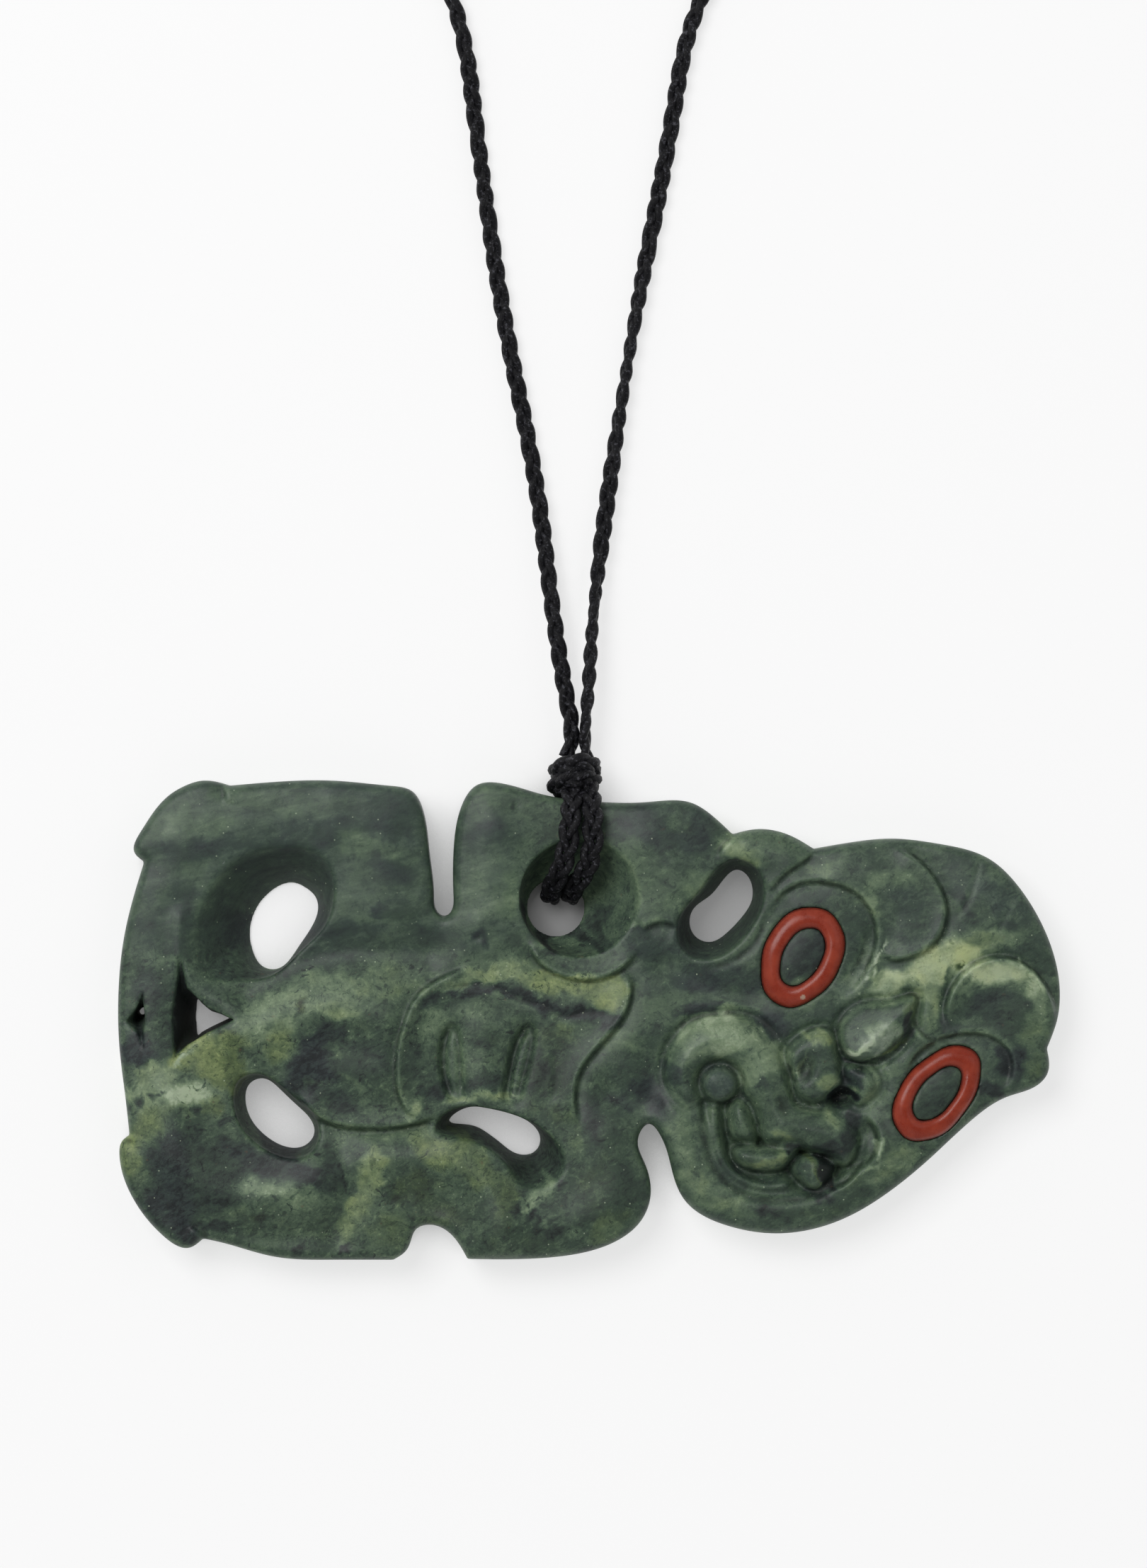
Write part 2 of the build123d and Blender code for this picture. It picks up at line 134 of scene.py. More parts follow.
def turnedBy(tree, vector, angle):
    settings = {"rotation_type": "Z_AXIS"}
    return take(tree, addNode(tree, "ShaderNodeVectorRotate", settings, {"Vector": vector, "Angle": angle}))


def drawnOut(tree, spot, degrees, share):
    # turned, then squeezed along, so that a pattern on it is drawn out
    return vectorStep(tree, "MULTIPLY", turnedBy(tree, spot, math.radians(degrees)), (share, 1.0, 1.0))


def splitVector(tree, vector):
    parts = addNode(tree, "ShaderNodeSeparateXYZ", None, {0: vector})
    return [take(tree, parts, number) for number in range(3)]


def attribute(tree, name, output="Fac"):
    return take(tree, addNode(tree, "ShaderNodeAttribute", {"attribute_name": name}), output)


def objectSpot(tree):
    return addNode(tree, "ShaderNodeTexCoord").outputs["Object"]


def startMaterial(name, **fixed):
    # fixed values of the shader, with _ for each space in a socket's name
    material = bpy.data.materials.new(name)
    material.use_nodes = True
    tree = material.node_tree
    tree.nodes.clear()
    sockets = {key.replace("_", " "): value for key, value in fixed.items()}
    shader = addNode(tree, "ShaderNodeBsdfPrincipled", None, sockets)
    addNode(tree, "ShaderNodeOutputMaterial", None, {"Surface": shader.outputs[0]})
    return material, tree, shader


def feed(tree, shader, name, value):
    tree.links.new(value.socket, shader.inputs[name])


def roughen(tree, shader, strength, depth, height):
    # fine relief in the light, as deep as that many millimetres
    sockets = {"Strength": strength, "Distance": depth * mm, "Height": height}
    feed(tree, shader, "Normal", take(tree, addNode(tree, "ShaderNodeBump", None, sockets)))


# objects and meshes

def addObject(name, data):
    obj = bpy.data.objects.new(name, data)
    bpy.context.collection.objects.link(obj)
    return obj


def meshFrom(name, points, faces, material):
    mesh = bpy.data.meshes.new(name)
    mesh.from_pydata([tuple(point) for point in points], [], [tuple(face) for face in faces])
    mesh.update()
    mesh.materials.append(material)
    mesh.shade_smooth()
    return addObject(name, mesh)


def storeValues(mesh, name, values):
    mesh.attributes.new(name, "FLOAT", "POINT").data.foreach_set("value", values.astype(np.float32))


def evaluatedMesh(obj):
    return bpy.data.meshes.new_from_object(obj.evaluated_get(bpy.context.evaluated_depsgraph_get()))


def triangleCount(obj):
    return sum(len(face.vertices) - 2 for face in obj.data.polygons)


# camera, floor and light

view = {"middle": (-1.82, 27.6), "height": 1.0, "level": 4.0, "tall": 183.58}
camera = bpy.data.cameras.new("camera")
camera.sensor_width = 36.0
camera.lens = camera.sensor_width * (view["height"] / mm - view["level"]) / view["tall"]
cameraObject = addObject("camera", camera)
cameraObject.location = (view["middle"][0] * mm, view["middle"][1] * mm, view["height"])
bpy.context.scene.camera = cameraObject
bpy.context.scene.view_settings.view_transform = "Standard"

# The floor glows, a painted light, so that it comes out nearly white. The glow is less where the stone
# closes in round a place, a painted shadow (as open as which is fully dark, as open as which is fully lit,
# and the least glow), and least in two narrow holes, a painted shadow (along, across and the share of the
# glow that is kept).
floorLook = {"reach": 1.5, "colour": (0.41, 0.41, 0.41, 1.0), "grain": (0.395, 0.395, 0.398, 1.0),
             "glow": 0.69, "closeBy": 16.0, "openness": (0.0, 0.52, 0.18), "shadedHoleSide": (4.5, 5.5),
             "narrow": [(-3.9, 12.8, 0.1), (15.5, 13.3, 0.4)]}


def floorMaterial():
    look = floorLook
    material, tree, shader = startMaterial("paleSurface", Roughness=0.6, Emission_Strength=look["glow"])
    # how closed in each place is dims the glow: a painted shadow round and under the stone
    around = addNode(tree, "ShaderNodeAmbientOcclusion", {"samples": 8}, {"Distance": look["closeBy"] * mm})
    closed, opened, least = look["openness"]
    lit = clampTo(tree, take(tree, around, "AO"), closed, opened, least, 1.0)
    within, past = look["shadedHoleSide"]
    # painted shadow in the two narrow holes: the glow dimmed round each hole's middle
    for holeX, holeY, kept in look["narrow"]:
        gap = distanceFrom(tree, objectSpot(tree), (holeX, holeY, 0))
        lit = lit * clampTo(tree, gap, within * mm, past * mm, kept, 1.0)
    feed(tree, shader, "Emission Color", mixColour(tree, lit, (0, 0, 0, 1), (1, 1, 1, 1)))
    grain = noise(tree, objectSpot(tree), 0.5, 3.0)
    feed(tree, shader, "Base Color", mixColour(tree, grain, look["grain"], look["colour"]))
    return material


reach = floorLook["reach"]
corners = [(-reach, -reach, 0), (reach, -reach, 0), (reach, reach, 0), (-reach, reach, 0)]
floor = meshFrom("floor", corners, [(0, 1, 2, 3)], floorMaterial())

# place, size and power of the soft boxes, the strongest at the upper left
lamps = {"key": ((-0.61, 0.61, 1.43), 0.9, 12.6), "fill": ((0.85, 0.45, 1.3), 0.9, 1.2),
         "low": ((0.1, -0.9, 1.2), 0.9, 0.8)}
lampTarget = (0, 0.02, 0)
tent = {"low": 0.31, "high": 0.08, "from": 0.45, "to": 0.95}  # brightness near the surface and straight above


def addLight(name, place, target, size, watts):
    light = bpy.data.lights.new(name, "AREA")
    light.shape = "SQUARE"
    light.size = size
    light.energy = watts
    obj = addObject(name, light)
    obj.location = place
    direction = Vector(target) - Vector(place)
    obj.rotation_euler = direction.to_track_quat("-Z", "Y").to_euler()


def makeTent():
    # a white room that is darker straight above
    world = bpy.data.worlds.new("room")
    bpy.context.scene.world = world
    world.use_nodes = True
    tree = world.node_tree
    background = tree.nodes["Background"]
    background.inputs["Color"].default_value = (1, 1, 1, 1)
    upward = splitVector(tree, addNode(tree, "ShaderNodeTexCoord").outputs["Generated"])[2]
    strength = clampTo(tree, upward, tent["from"], tent["to"], tent["low"], tent["high"])
    feed(tree, background, "Strength", strength)


for lampName, (place, size, watts) in lamps.items():
    addLight(lampName, place, lampTarget, size, watts)
makeTent()
print("camera, surface and lights made")


# the plaited cord

# The neck cord's way: from the knot's upper face, drawn together above it, to the clasp.
cordSizes = {"tubeWidth": 2.4, "boreTurn": 8.0, "boreMiddle": (-3.9, 13.1), "knotEnd": 17.526,
             "knotMiddle": 4.0, "lead": 2.2, "pinch": 0.5, "passing": 0.35, "spread": 1.25,
             "claspSideways": 1.5, "claspOnward": 234.8, "claspLength": 24.0, "claspLead": 6.5,
             "claspHeight": 3.0}
# Sideways and onward from the middle of the knot's upper face, and up from the surface.
leftRoute = [(-1.4, 8.2, 3.6), (-2.9, 17.8, 2.8), (-4.7, 33.0, 1.5), (-8.6, 51.5, 1.2), (-11.3, 70.0, 1.2),
             (-13.6, 89.0, 1.2), (-21.5, 103.0, 1.2), (-35.0, 119.5, 1.2), (-47.0, 140.0, 1.2),
             (-51.5, 166.0, 1.2), (-49.5, 193.0, 1.2), (-38.0, 217.0, 1.2), (-27.5, 228.8, 1.4)]
rightRoute = [(1.4, 8.2, 3.6), (1.9, 17.5, 2.8), (3.9, 33.0, 1.5), (6.8, 52.0, 1.2), (10.5, 70.5, 1.2),
              (13.5, 89.5, 1.2), (24.0, 104.0, 1.2), (38.0, 120.5, 1.2), (50.5, 141.0, 1.2),
              (54.8, 167.0, 1.2), (52.5, 193.5, 1.2), (42.0, 217.5, 1.2), (31.0, 228.8, 1.4)]
# The plaits, by the names of the plait tree's inputs: Turning is how far the strands roll over, in radians.
neckPlait = {"Width": 2.1, "Thickness": 1.35, "Strand": 0.98, "Pitch": 8.4, "Turning": 2.6, "Lies Flat": 1.0}
loopPlait = {"Width": 2.35, "Thickness": 1.4, "Strand": 1.02, "Pitch": 8.0, "Turning": 0.35, "Lies Flat": 0.0}
wrapPlait = {"Width": 2.5, "Thickness": 1.7, "Strand": 1.22, "Pitch": 7.2, "Turning": 0.8, "Lies Flat": 0.0}
seeds = {"plaitLeft": 2.1, "plaitRight": 4.1, "hangingLoop": 5.2, "knotWraps": 9.4}
fuller = {"from": 2.0, "to": 7.0, "share": 1.22}  # how much fuller the loop is from one height to another
# How fine a strand is built, how uneven its pitch is and how fast that and its roll change along it.
strandForm = {"step": 0.33, "sides": 9, "uneven": 1.2, "pitchRate": 160, "rollRate": 28, "rollSeed": 3.7,
              "fibreShift": 0.37}
turn = math.radians(cordSizes["boreTurn"])
onward = Vector((math.sin(turn), math.cos(turn), 0))
sideways = Vector((math.cos(turn), -math.sin(turn), 0))
boreMiddle = Vector((*cordSizes["boreMiddle"], 0))


def fromBore(forward, across, up):
    # a point in millimetres, along and across the line from the hanging hole to the knot
    return boreMiddle + onward * forward + sideways * across + Vector((0, 0, up))


def neckRoute(side, chosen):
    sizes = cordSizes
    leaving = [fromBore(sizes["knotEnd"], side * sizes["spread"], sizes["knotMiddle"]),
               fromBore(sizes["knotEnd"] + sizes["lead"], side * sizes["pinch"],
                        sizes["knotMiddle"] + side * sizes["passing"])]
    base = fromBore(sizes["knotEnd"], 0, 0)
    claspSide = sizes["claspSideways"] + side * sizes["claspLength"] / 2
    claspEnd = base + Vector((claspSide, sizes["claspOnward"], sizes["claspHeight"]))
    arriving = [claspEnd + Vector((side * sizes["claspLead"], 0, 0)), claspEnd]
    return leaving + [base + Vector(point) for point in chosen] + arriving


def smoothLine(name, points):
    # points along the NURBS spline that has these control points, in metres
    curve = bpy.data.curves.new(name, "CURVE")
    curve.dimensions = "3D"
    spline = curve.splines.new("NURBS")
    spline.points.add(len(points) - 1)
    for knot, point in zip(spline.points, points):
        knot.co = (*(Vector(point) * mm), 1)
    spline.order_u = 3
    spline.use_endpoint_u = True
    spline.resolution_u = 24
    route = addObject(name, curve)
    mesh = bpy.data.meshes.new_from_object(route)
    line = [vertex.co.copy() for vertex in mesh.vertices]
    bpy.data.objects.remove(route)
    bpy.data.meshes.remove(mesh)
    return line


def startPlaitTree():
    # the tree and its inputs by name
    tree = bpy.data.node_groups.new("plait", "GeometryNodeTree")
    kinds = {"Geometry": "Geometry", "Yarn": "Material", "Seed": "Float", **dict.fromkeys(neckPlait, "Float")}
    for name, kind in kinds.items():
        tree.interface.new_socket(name, in_out="INPUT", socket_type="NodeSocket" + kind)
    tree.interface.new_socket("Geometry", in_out="OUTPUT", socket_type="NodeSocketGeometry")
    given = tree.nodes.new("NodeGroupInput")
    return tree, {name: Wire(tree, given.outputs[name]) for name in kinds}


def plaitLine(tree, given):
    # even steps along the line, with normals that keep the plait flat on the surface or turn least
    curve = addNode(tree, "GeometryNodeMeshToCurve", None, {"Mesh": given["Geometry"]})
    steps = {"Curve": curve.outputs[0], "Length": strandForm["step"] * mm}
    even = addNode(tree, "GeometryNodeResampleCurve", {"mode": "LENGTH"}, steps)
    flat, free = [addNode(tree, "GeometryNodeSetCurveNormal", {"mode": mode}, {"Curve": even.outputs[0]})
                  for mode in ("Z_UP", "MINIMUM_TWIST")]
    liesFlat = {0: given["Lies Flat"], 1: 0.5}
    liesFlat = addNode(tree, "FunctionNodeCompare", {"operation": "GREATER_THAN"}, liesFlat)
    chosen = {"Switch": liesFlat.outputs[0], "False": free.outputs[0], "True": flat.outputs[0]}
    return addNode(tree, "GeometryNodeSwitch", {"input_type": "GEOMETRY"}, chosen).outputs[0]


def lineNoise(tree, place, detail):
    # noise along a line, around 0
    sockets = {"W": place, "Scale": 1.0, "Detail": detail}
    return take(tree, addNode(tree, "ShaderNodeTexNoise", {"noise_dimensions": "1D"}, sockets)) - 0.5


def scaledBy(tree, vector, size):
    settings = {"operation": "SCALE"}
    return take(tree, addNode(tree, "ShaderNodeVectorMath", settings, {0: vector, "Scale": size}))


def storedOn(tree, geometry, name, kind, value):
    sockets = {"Geometry": geometry, "Name": name, "Value": value}
    settings = {"data_type": kind, "domain": "POINT"}
    return addNode(tree, "GeometryNodeStoreNamedAttribute", settings, sockets).outputs[0]


def makePlaitTree():
    # three strands over and under each other along a line of edges
    form = strandForm
    tree, given = startPlaitTree()
    line = plaitLine(tree, given)
    along = take(tree, tree.nodes.new("GeometryNodeSplineParameter"), "Length")
    stored = addNode(tree, "GeometryNodeInputNamedAttribute", {"data_type": "FLOAT"}, {"Name": "fullness"})
    full = take(tree, stored)
    strand = given["Strand"]
    early = lineNoise(tree, along * form["pitchRate"] + given["Seed"], 1.0)
    phase = (along + early * (form["uneven"] * mm)) * (2 * math.pi) / given["Pitch"]
    roll = lineNoise(tree, along * form["rollRate"] + given["Seed"] * form["rollSeed"], 0.0)
    roll = roll * 2.0 * given["Turning"]
    normal = tree.nodes.new("GeometryNodeInputNormal").outputs[0]
    side = vectorStep(tree, "CROSS_PRODUCT", tree.nodes.new("GeometryNodeInputTangent").outputs[0], normal)
    circle = {"Resolution": form["sides"], "Radius": strand * 0.5}
    profile = addNode(tree, "GeometryNodeCurvePrimitiveCircle", None, circle)
    place = tree.nodes.new("GeometryNodeInputPosition").outputs[0]
    rim = storedOn(tree, profile.outputs[0], "around", "FLOAT_VECTOR", place)
    join = tree.nodes.new("GeometryNodeJoinGeometry")
    for number in range(3):
        swing = phase + number * 2 * math.pi / 3
        across = swing.math("SINE", swing) * (given["Width"] - strand) * 0.5 * full
        up = swing.math("SINE", swing * 2.0) * (given["Thickness"] - strand) * 0.5 * full
        offset = addNode(tree, "ShaderNodeCombineXYZ", None, {"X": across, "Y": up})
        across, up = splitVector(tree, turnedBy(tree, offset.outputs[0], roll))[:2]
        offset = vectorStep(tree, "ADD", scaledBy(tree, normal, across), scaledBy(tree, side, up))
        measured = storedOn(tree, line, "along", "FLOAT", along + number * form["fibreShift"])
        moved = addNode(tree, "GeometryNodeSetPosition", None, {"Geometry": measured, "Offset": offset})
        sized = addNode(tree, "GeometryNodeSetCurveRadius", None, {"Curve": moved.outputs[0], "Radius": full})
        tube = addNode(tree, "GeometryNodeCurveToMesh", None,
                       {"Curve": sized.outputs[0], "Profile Curve": rim, "Fill Caps": True})
        tree.links.new(tube.outputs[0], join.inputs[0])
    smooth = addNode(tree, "GeometryNodeSetShadeSmooth", None, {"Geometry": join.outputs[0]})
    real = addNode(tree, "GeometryNodeRealizeInstances", None, {"Geometry": smooth.outputs[0]})
    dressed = {"Geometry": real.outputs[0], "Material": given["Yarn"]}
    dressed = addNode(tree, "GeometryNodeSetMaterial", None, dressed)
    tree.links.new(dressed.outputs[0], tree.nodes.new("NodeGroupOutput").inputs[0])
    return tree


yarnTwist = {"turning": 1500, "stretch": 0.18}  # radians to the metre, and how drawn out the fibres are


def waxedCordLook():
    # three-ply black yarn: fine slanting fibres, and small waxy glints painted into its colour as pale spots
    material, tree, shader = startMaterial("waxedBlackYarn", Specular_IOR_Level=0.26)
    spot = objectSpot(tree)
    along = attribute(tree, "along")
    twisted = turnedBy(tree, attribute(tree, "around", "Vector"), along * yarnTwist["turning"])
    slantX, slantY = splitVector(tree, twisted)[:2]
    fibre = {"X": slantX, "Y": slantY, "Z": along * yarnTwist["stretch"]}
    fibre = addNode(tree, "ShaderNodeCombineXYZ", None, fibre)
    threads = noise(tree, fibre.outputs[0], 0.16, 3.0, 0.6)
    lumps = noise(tree, spot, 0.8, 2.0)
    wax = clampTo(tree, noise(tree, spot, 0.35, 3.0, 0.65), 0.52, 0.72)
    # painted glints: pale spots mixed into the colour
    paintedGlint = clampTo(tree, noise(tree, spot, 0.4, 3.0, 0.65), 0.53, 0.70)
    shade = mixColour(tree, threads, (0.0015, 0.0015, 0.002, 1), (0.009, 0.009, 0.012, 1))
    shade = mixColour(tree, wax * 0.3, shade, (0.035, 0.035, 0.042, 1))
    shade = mixColour(tree, paintedGlint * 0.5, shade, (0.17, 0.17, 0.20, 1))
    feed(tree, shader, "Base Color", shade)
    feed(tree, shader, "Roughness", 0.56 - wax * 0.24 - threads * 0.1)
    roughen(tree, shader, 0.9, 0.16, threads + lumps * 0.5)
    return material


plaitTree = makePlaitTree()
yarn = waxedCordLook()


def plaitAlong(name, lines, plait, swelling=None):
    # one mesh of plaited cord along one or more lines of points, fuller where it swells
    points, edges = [], []
    for line in lines:
        edges += [(len(points) + i, len(points) + i + 1) for i in range(len(line) - 1)]
        points += [tuple(point) for point in line]
    mesh = bpy.data.meshes.new(name)
    mesh.from_pydata(points, edges, [])
    fullness = np.ones(len(points))
    if swelling:
        heights = np.array(points)[:, 2] / mm
        risen = np.clip((heights - swelling["from"]) / (swelling["to"] - swelling["from"]), 0, 1)
        fullness = 1 + (swelling["share"] - 1) * risen
    storeValues(mesh, "fullness", fullness)
    guide = addObject(name + "Guide", mesh)
    modifier = guide.modifiers.new("plait", "NODES")
    modifier.node_group = plaitTree
    values = {**plait, "Seed": seeds[name], "Yarn": yarn}
    for size in ("Width", "Thickness", "Strand", "Pitch"):
        values[size] = plait[size] * mm
    for item in plaitTree.interface.items_tree:
        if item.in_out == "INPUT" and item.name in values:
            modifier[item.identifier] = values[item.name]
    finished = evaluatedMesh(guide)
    bpy.data.objects.remove(guide)
    finished.name = name
    return addObject(name, finished)


# The doubled cord through the hanging hole: each strand from inside the knot over the stone's edge, down the
# dish and the throat, and back behind the stone.
loopRoutes = {
    "left": [
        (-1.9, 30.4, 4.2), (-1.9, 28.4, 4.6), (-2.0, 26.6, 6.6), (-2.1, 24.3, 9.2), (-2.4, 20.8, 9.5),
        (-3.2, 17.6, 8.9), (-4.2, 16.0, 6.9), (-4.6, 14.3, 4.0), (-4.6, 14.1, 1.4), (-4.3, 16.0, 0.8),
        (-3.85, 20.0, 0.85), (-2.95, 25.0, 0.9), (-2.3, 26.8, 1.6), (-2.0, 28.4, 3.0)],
    "right": [
        (-0.6, 30.4, 4.2), (-0.5, 28.4, 4.6), (0.1, 26.6, 6.6), (0.4, 24.3, 9.2), (0.5, 20.8, 9.6),
        (-0.1, 17.8, 9.1), (-1.5, 16.0, 6.9), (-2.3, 14.3, 4.0), (-2.4, 14.2, 1.4), (-2.1, 16.3, 0.8),
        (-1.5, 20.0, 0.85), (-0.65, 25.0, 0.9), (-0.1, 26.8, 1.6), (-0.4, 28.4, 3.0)],
}
knotSizes = {"middle": (-1.65, 28.9, 4.1), "half": 2.4, "deep": 2.7, "turns": 2.05, "drop": 1.75, "arch": 1.1,
             "lean": 0.75, "start": 0.9, "steps": 10, "swell": 0.05, "swellRate": 1.7}


def wrapRoute():
    # the cord's turns round the knot, from the back, with each turn arching up in front
    sizes = knotSizes
    middle = Vector(sizes["middle"])
    route = []
    for step in range(int(sizes["steps"] * sizes["turns"]) + 1):
        turned = 2 * math.pi * step / sizes["steps"] - math.pi / 2
        swell = 1 + sizes["swell"] * math.sin(sizes["swellRate"] * step)
        forward = (sizes["start"] - sizes["drop"] * step / sizes["steps"]
                   + sizes["arch"] * max(math.sin(turned), 0) - sizes["lean"] * math.cos(turned))
        route.append(middle + Vector((-math.cos(turned) * sizes["half"] * swell, forward,
                                      math.sin(turned) * sizes["deep"])))
    return route


def claspLook():
    # matt black plastic: fine moulding marks round the barrel, dull specks and slightly worn spots
    material, tree, shader = startMaterial("matteBlack", Specular_IOR_Level=0.4)
    spot = objectSpot(tree)
    marks = noise(tree, vectorStep(tree, "MULTIPLY", spot, (6.0, 0.6, 0.6)), 0.9, 4.0, 0.6)
    worn = clampTo(tree, noise(tree, spot, 1.6, 4.0, 0.65), 0.56, 0.74)
    specks = clampTo(tree, noise(tree, spot, 0.3, 2.0), 0.66, 0.74)
    shade = mixColour(tree, marks, (0.006, 0.006, 0.007, 1), (0.016, 0.016, 0.018, 1))
    shade = mixColour(tree, worn * 0.5, shade, (0.035, 0.034, 0.035, 1))
    shade = mixColour(tree, specks * 0.4, shade, (0.07, 0.07, 0.07, 1))
    feed(tree, shader, "Base Color", shade)
    feed(tree, shader, "Roughness", 0.52 + marks * 0.14 + worn * 0.1 + specks * 0.1)
    roughen(tree, shader, 0.4, 0.03, marks + specks * 0.4)
    return material


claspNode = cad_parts["barrel_clasp"]
for held in claspNode.material_slots:
    held.material = claspLook()
loop = plaitAlong("hangingLoop", [smoothLine(name + "Loop", route) for name, route in loopRoutes.items()],
                  loopPlait, fuller)
wraps = plaitAlong("knotWraps", [smoothLine("wraps", wrapRoute())], wrapPlait)
for piece, node in ((loop, "cord_bight"), (wraps, "cord_knot")):
    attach(piece, "root")
    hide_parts(node)
for side, name, chosen, node in ((-1, "plaitLeft", leftRoute, "neck_cord_left"),
                                 (1, "plaitRight", rightRoute, "neck_cord_right")):
    line = smoothLine(name, neckRoute(side, chosen))
    cord = plaitAlong(name, [line], neckPlait)
    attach(cord, "root")
    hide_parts(node)


# the stone's form

stoneSizes = {"ground": 7.6, "edge": 1.15, "backEdge": 0.9, "cell": 0.24, "margin": 1.4, "top": 10.4,
              "triangles": 190000, "edgeFall": 0.4, "edgeFallWidth": 3.2}
# The outline clockwise from the upper left, a list for each stretch between two sharp corners.
outline = {
    "knee": [
        (-52.0, 18.5), (-53.2, 19.7), (-52.3, 22.2), (-51.0, 24.2), (-49.2, 26.2), (-47.0, 27.5),
        (-45.2, 28.0), (-43.4, 27.8)],
    "thigh and shoulder": [
        (-42.1, 27.4), (-36.0, 27.9), (-30.0, 28.0), (-23.3, 27.4), (-20.8, 26.8), (-19.4, 24.3),
        (-18.7, 19.5), (-18.2, 14.6), (-17.8, 12.6), (-17.0, 12.1), (-16.2, 12.6), (-15.85, 14.6),
        (-15.8, 20.5), (-15.0, 24.8), (-13.1, 27.5), (-9.8, 27.6), (-5.5, 26.4), (1.3, 25.5), (7.0, 25.5),
        (12.0, 25.4), (14.3, 24.0)],
    "ear": [(16.8, 21.7), (19.5, 22.3), (23.0, 21.8)],
    "brow": [
        (26.3, 20.0), (31.0, 20.8), (35.5, 21.2), (41.0, 20.6), (46.7, 18.9), (50.3, 15.5), (53.4, 10.2),
        (54.9, 5.0), (54.8, 0.4)],
    "chin, neck and elbow": [
        (53.5, -3.3), (53.6, -6.2), (52.4, -7.6), (49.0, -8.9), (44.8, -11.6), (40.0, -16.0), (35.0, -20.1),
        (29.5, -23.3), (22.5, -24.9), (16.5, -24.1), (11.0, -20.8), (9.8, -18.0), (8.3, -13.4),
        (7.0, -12.1), (5.8, -13.5), (6.6, -17.0), (7.2, -20.5), (6.1, -23.4), (3.0, -25.9), (-2.0, -27.4),
        (-8.0, -27.9)],
    "bottom notch": [
        (-14.2, -27.9), (-15.1, -26.3), (-16.5, -24.7), (-18.6, -23.9), (-20.2, -24.4), (-21.2, -26.7)],
    "foot": [(-22.9, -28.0), (-30.0, -28.0), (-37.0, -27.6), (-42.5, -26.1)],
    "heel": [
        (-45.1, -25.5), (-46.7, -26.6), (-50.0, -25.0), (-53.2, -21.0), (-54.9, -15.8), (-54.6, -14.1)],
    "base": [(-53.7, -13.4), (-54.2, -9.0), (-54.9, -3.0), (-55.0, 3.5), (-54.3, 10.0)],
}
# Openings, clockwise: how far the front edge is rounded, how the wall flares, how much painted shade darkens
# the wall, whether it is a smooth loop, and along and across of the rim in front and of the rim at the back.
openings = {
    "thigh": (0.4, 1.2, 0.3, True, [
        (-35.0, 20.3, -34.8, 15.9), (-31.8, 19.6, -33.3, 15.3), (-29.9, 17.4, -32.2, 14.3),
        (-29.7, 14.3, -31.9, 13.0), (-30.9, 10.7, -32.4, 11.3), (-33.6, 8.0, -34.3, 8.3),
        (-36.8, 5.3, -36.7, 5.9), (-41.0, 4.2, -38.3, 6.2), (-45.2, 5.2, -39.3, 7.7),
        (-46.3, 8.6, -39.7, 9.8), (-45.2, 13.4, -39.2, 12.4), (-41.2, 18.8, -37.4, 14.8)]),
    "leg": (0.5, 1.2, 0.15, True, [
        (-38.8, -6.2, -38.3, -7.0), (-36.2, -7.4, -36.4, -8.2), (-33.6, -9.6, -34.2, -10.3),
        (-31.7, -11.4, -32.7, -11.9), (-31.4, -13.6, -32.3, -13.3), (-32.6, -15.6, -33.4, -14.8),
        (-35.6, -16.0, -35.4, -15.0), (-38.6, -14.6, -37.8, -13.8), (-40.8, -12.2, -39.5, -12.0),
        (-41.6, -9.4, -40.3, -9.6), (-41.0, -7.0, -39.8, -7.6)]),
    "arm": (0.4, 1.3, 0.5, True, [
        (-12.0, -10.2, -12.0, -10.4), (-8.2, -11.2, -9.2, -11.1), (-5.2, -12.8, -6.8, -12.3),
        (-3.2, -15.0, -5.8, -13.8), (-3.0, -17.6, -6.1, -15.2), (-5.0, -19.4, -7.4, -15.9),
        (-8.0, -19.2, -8.9, -15.6), (-9.8, -16.6, -10.4, -14.5), (-12.0, -14.8, -12.0, -13.3),
        (-15.2, -13.7, -14.0, -12.4), (-18.2, -12.6, -16.4, -11.9), (-17.0, -10.9, -15.4, -10.9)]),
    "ear": (0.4, 1.2, 0.25, True, [
        (17.2, 18.9, 17.5, 17.5), (19.4, 18.0, 18.5, 16.9), (20.4, 15.8, 19.1, 15.7),
        (20.2, 13.4, 19.1, 14.0), (18.8, 10.6, 18.0, 12.1), (16.6, 8.2, 16.2, 10.2), (13.6, 7.0, 14.2, 9.1),
        (11.0, 7.9, 12.6, 9.7), (10.2, 10.2, 11.9, 11.0), (11.0, 12.8, 12.3, 12.9),
        (13.2, 15.4, 14.2, 14.4), (15.0, 17.9, 15.9, 16.4)]),
    "hip": (0.25, 1.0, 2.4, False, [
        (-47.7, 6.9, -46.0, 2.6), (-46.9, 3.8, -45.6, 1.9), (-44.6, 1.5, -44.4, 0.9),
        (-41.5, 0.1, -42.1, 0.2), (-44.5, -1.4, -44.4, -0.9), (-46.7, -2.8, -45.5, -1.5),
        (-48.5, -4.7, -46.0, -2.0), (-48.7, 1.0, -46.1, 0.5)]),
    "star": (0.15, 1.0, 0.3, False, [
        (-52.1, 3.2, -52.3, 1.4), (-51.95, 1.4, -52.1, 1.1), (-51.8, 0.2, -52.15, 0.8),
        (-52.0, -1.4, -52.3, 0.6), (-52.1, -3.2, -52.4, 0.5), (-52.8, -1.4, -52.6, 0.6),
        (-54.2, -0.1, -52.9, 0.9), (-52.9, 1.3, -52.6, 1.2)]),
}
# The hanging hole: the dish in front, the throat and the channel for the cord behind. Its bowl opens and
# shifts from the throat to the dish by a power of the height.
hanging = {"throat": (-3.9, 13.1, 3.25), "dish": (-1.2, 14.3, 6.9), "throatTop": 2.6, "flare": 1.2,
           "opens": 0.6, "shifts": 0.8, "rounding": 0.15, "channelWide": 5.1, "channelDeep": 1.8,
           "channelLong": 17.5}
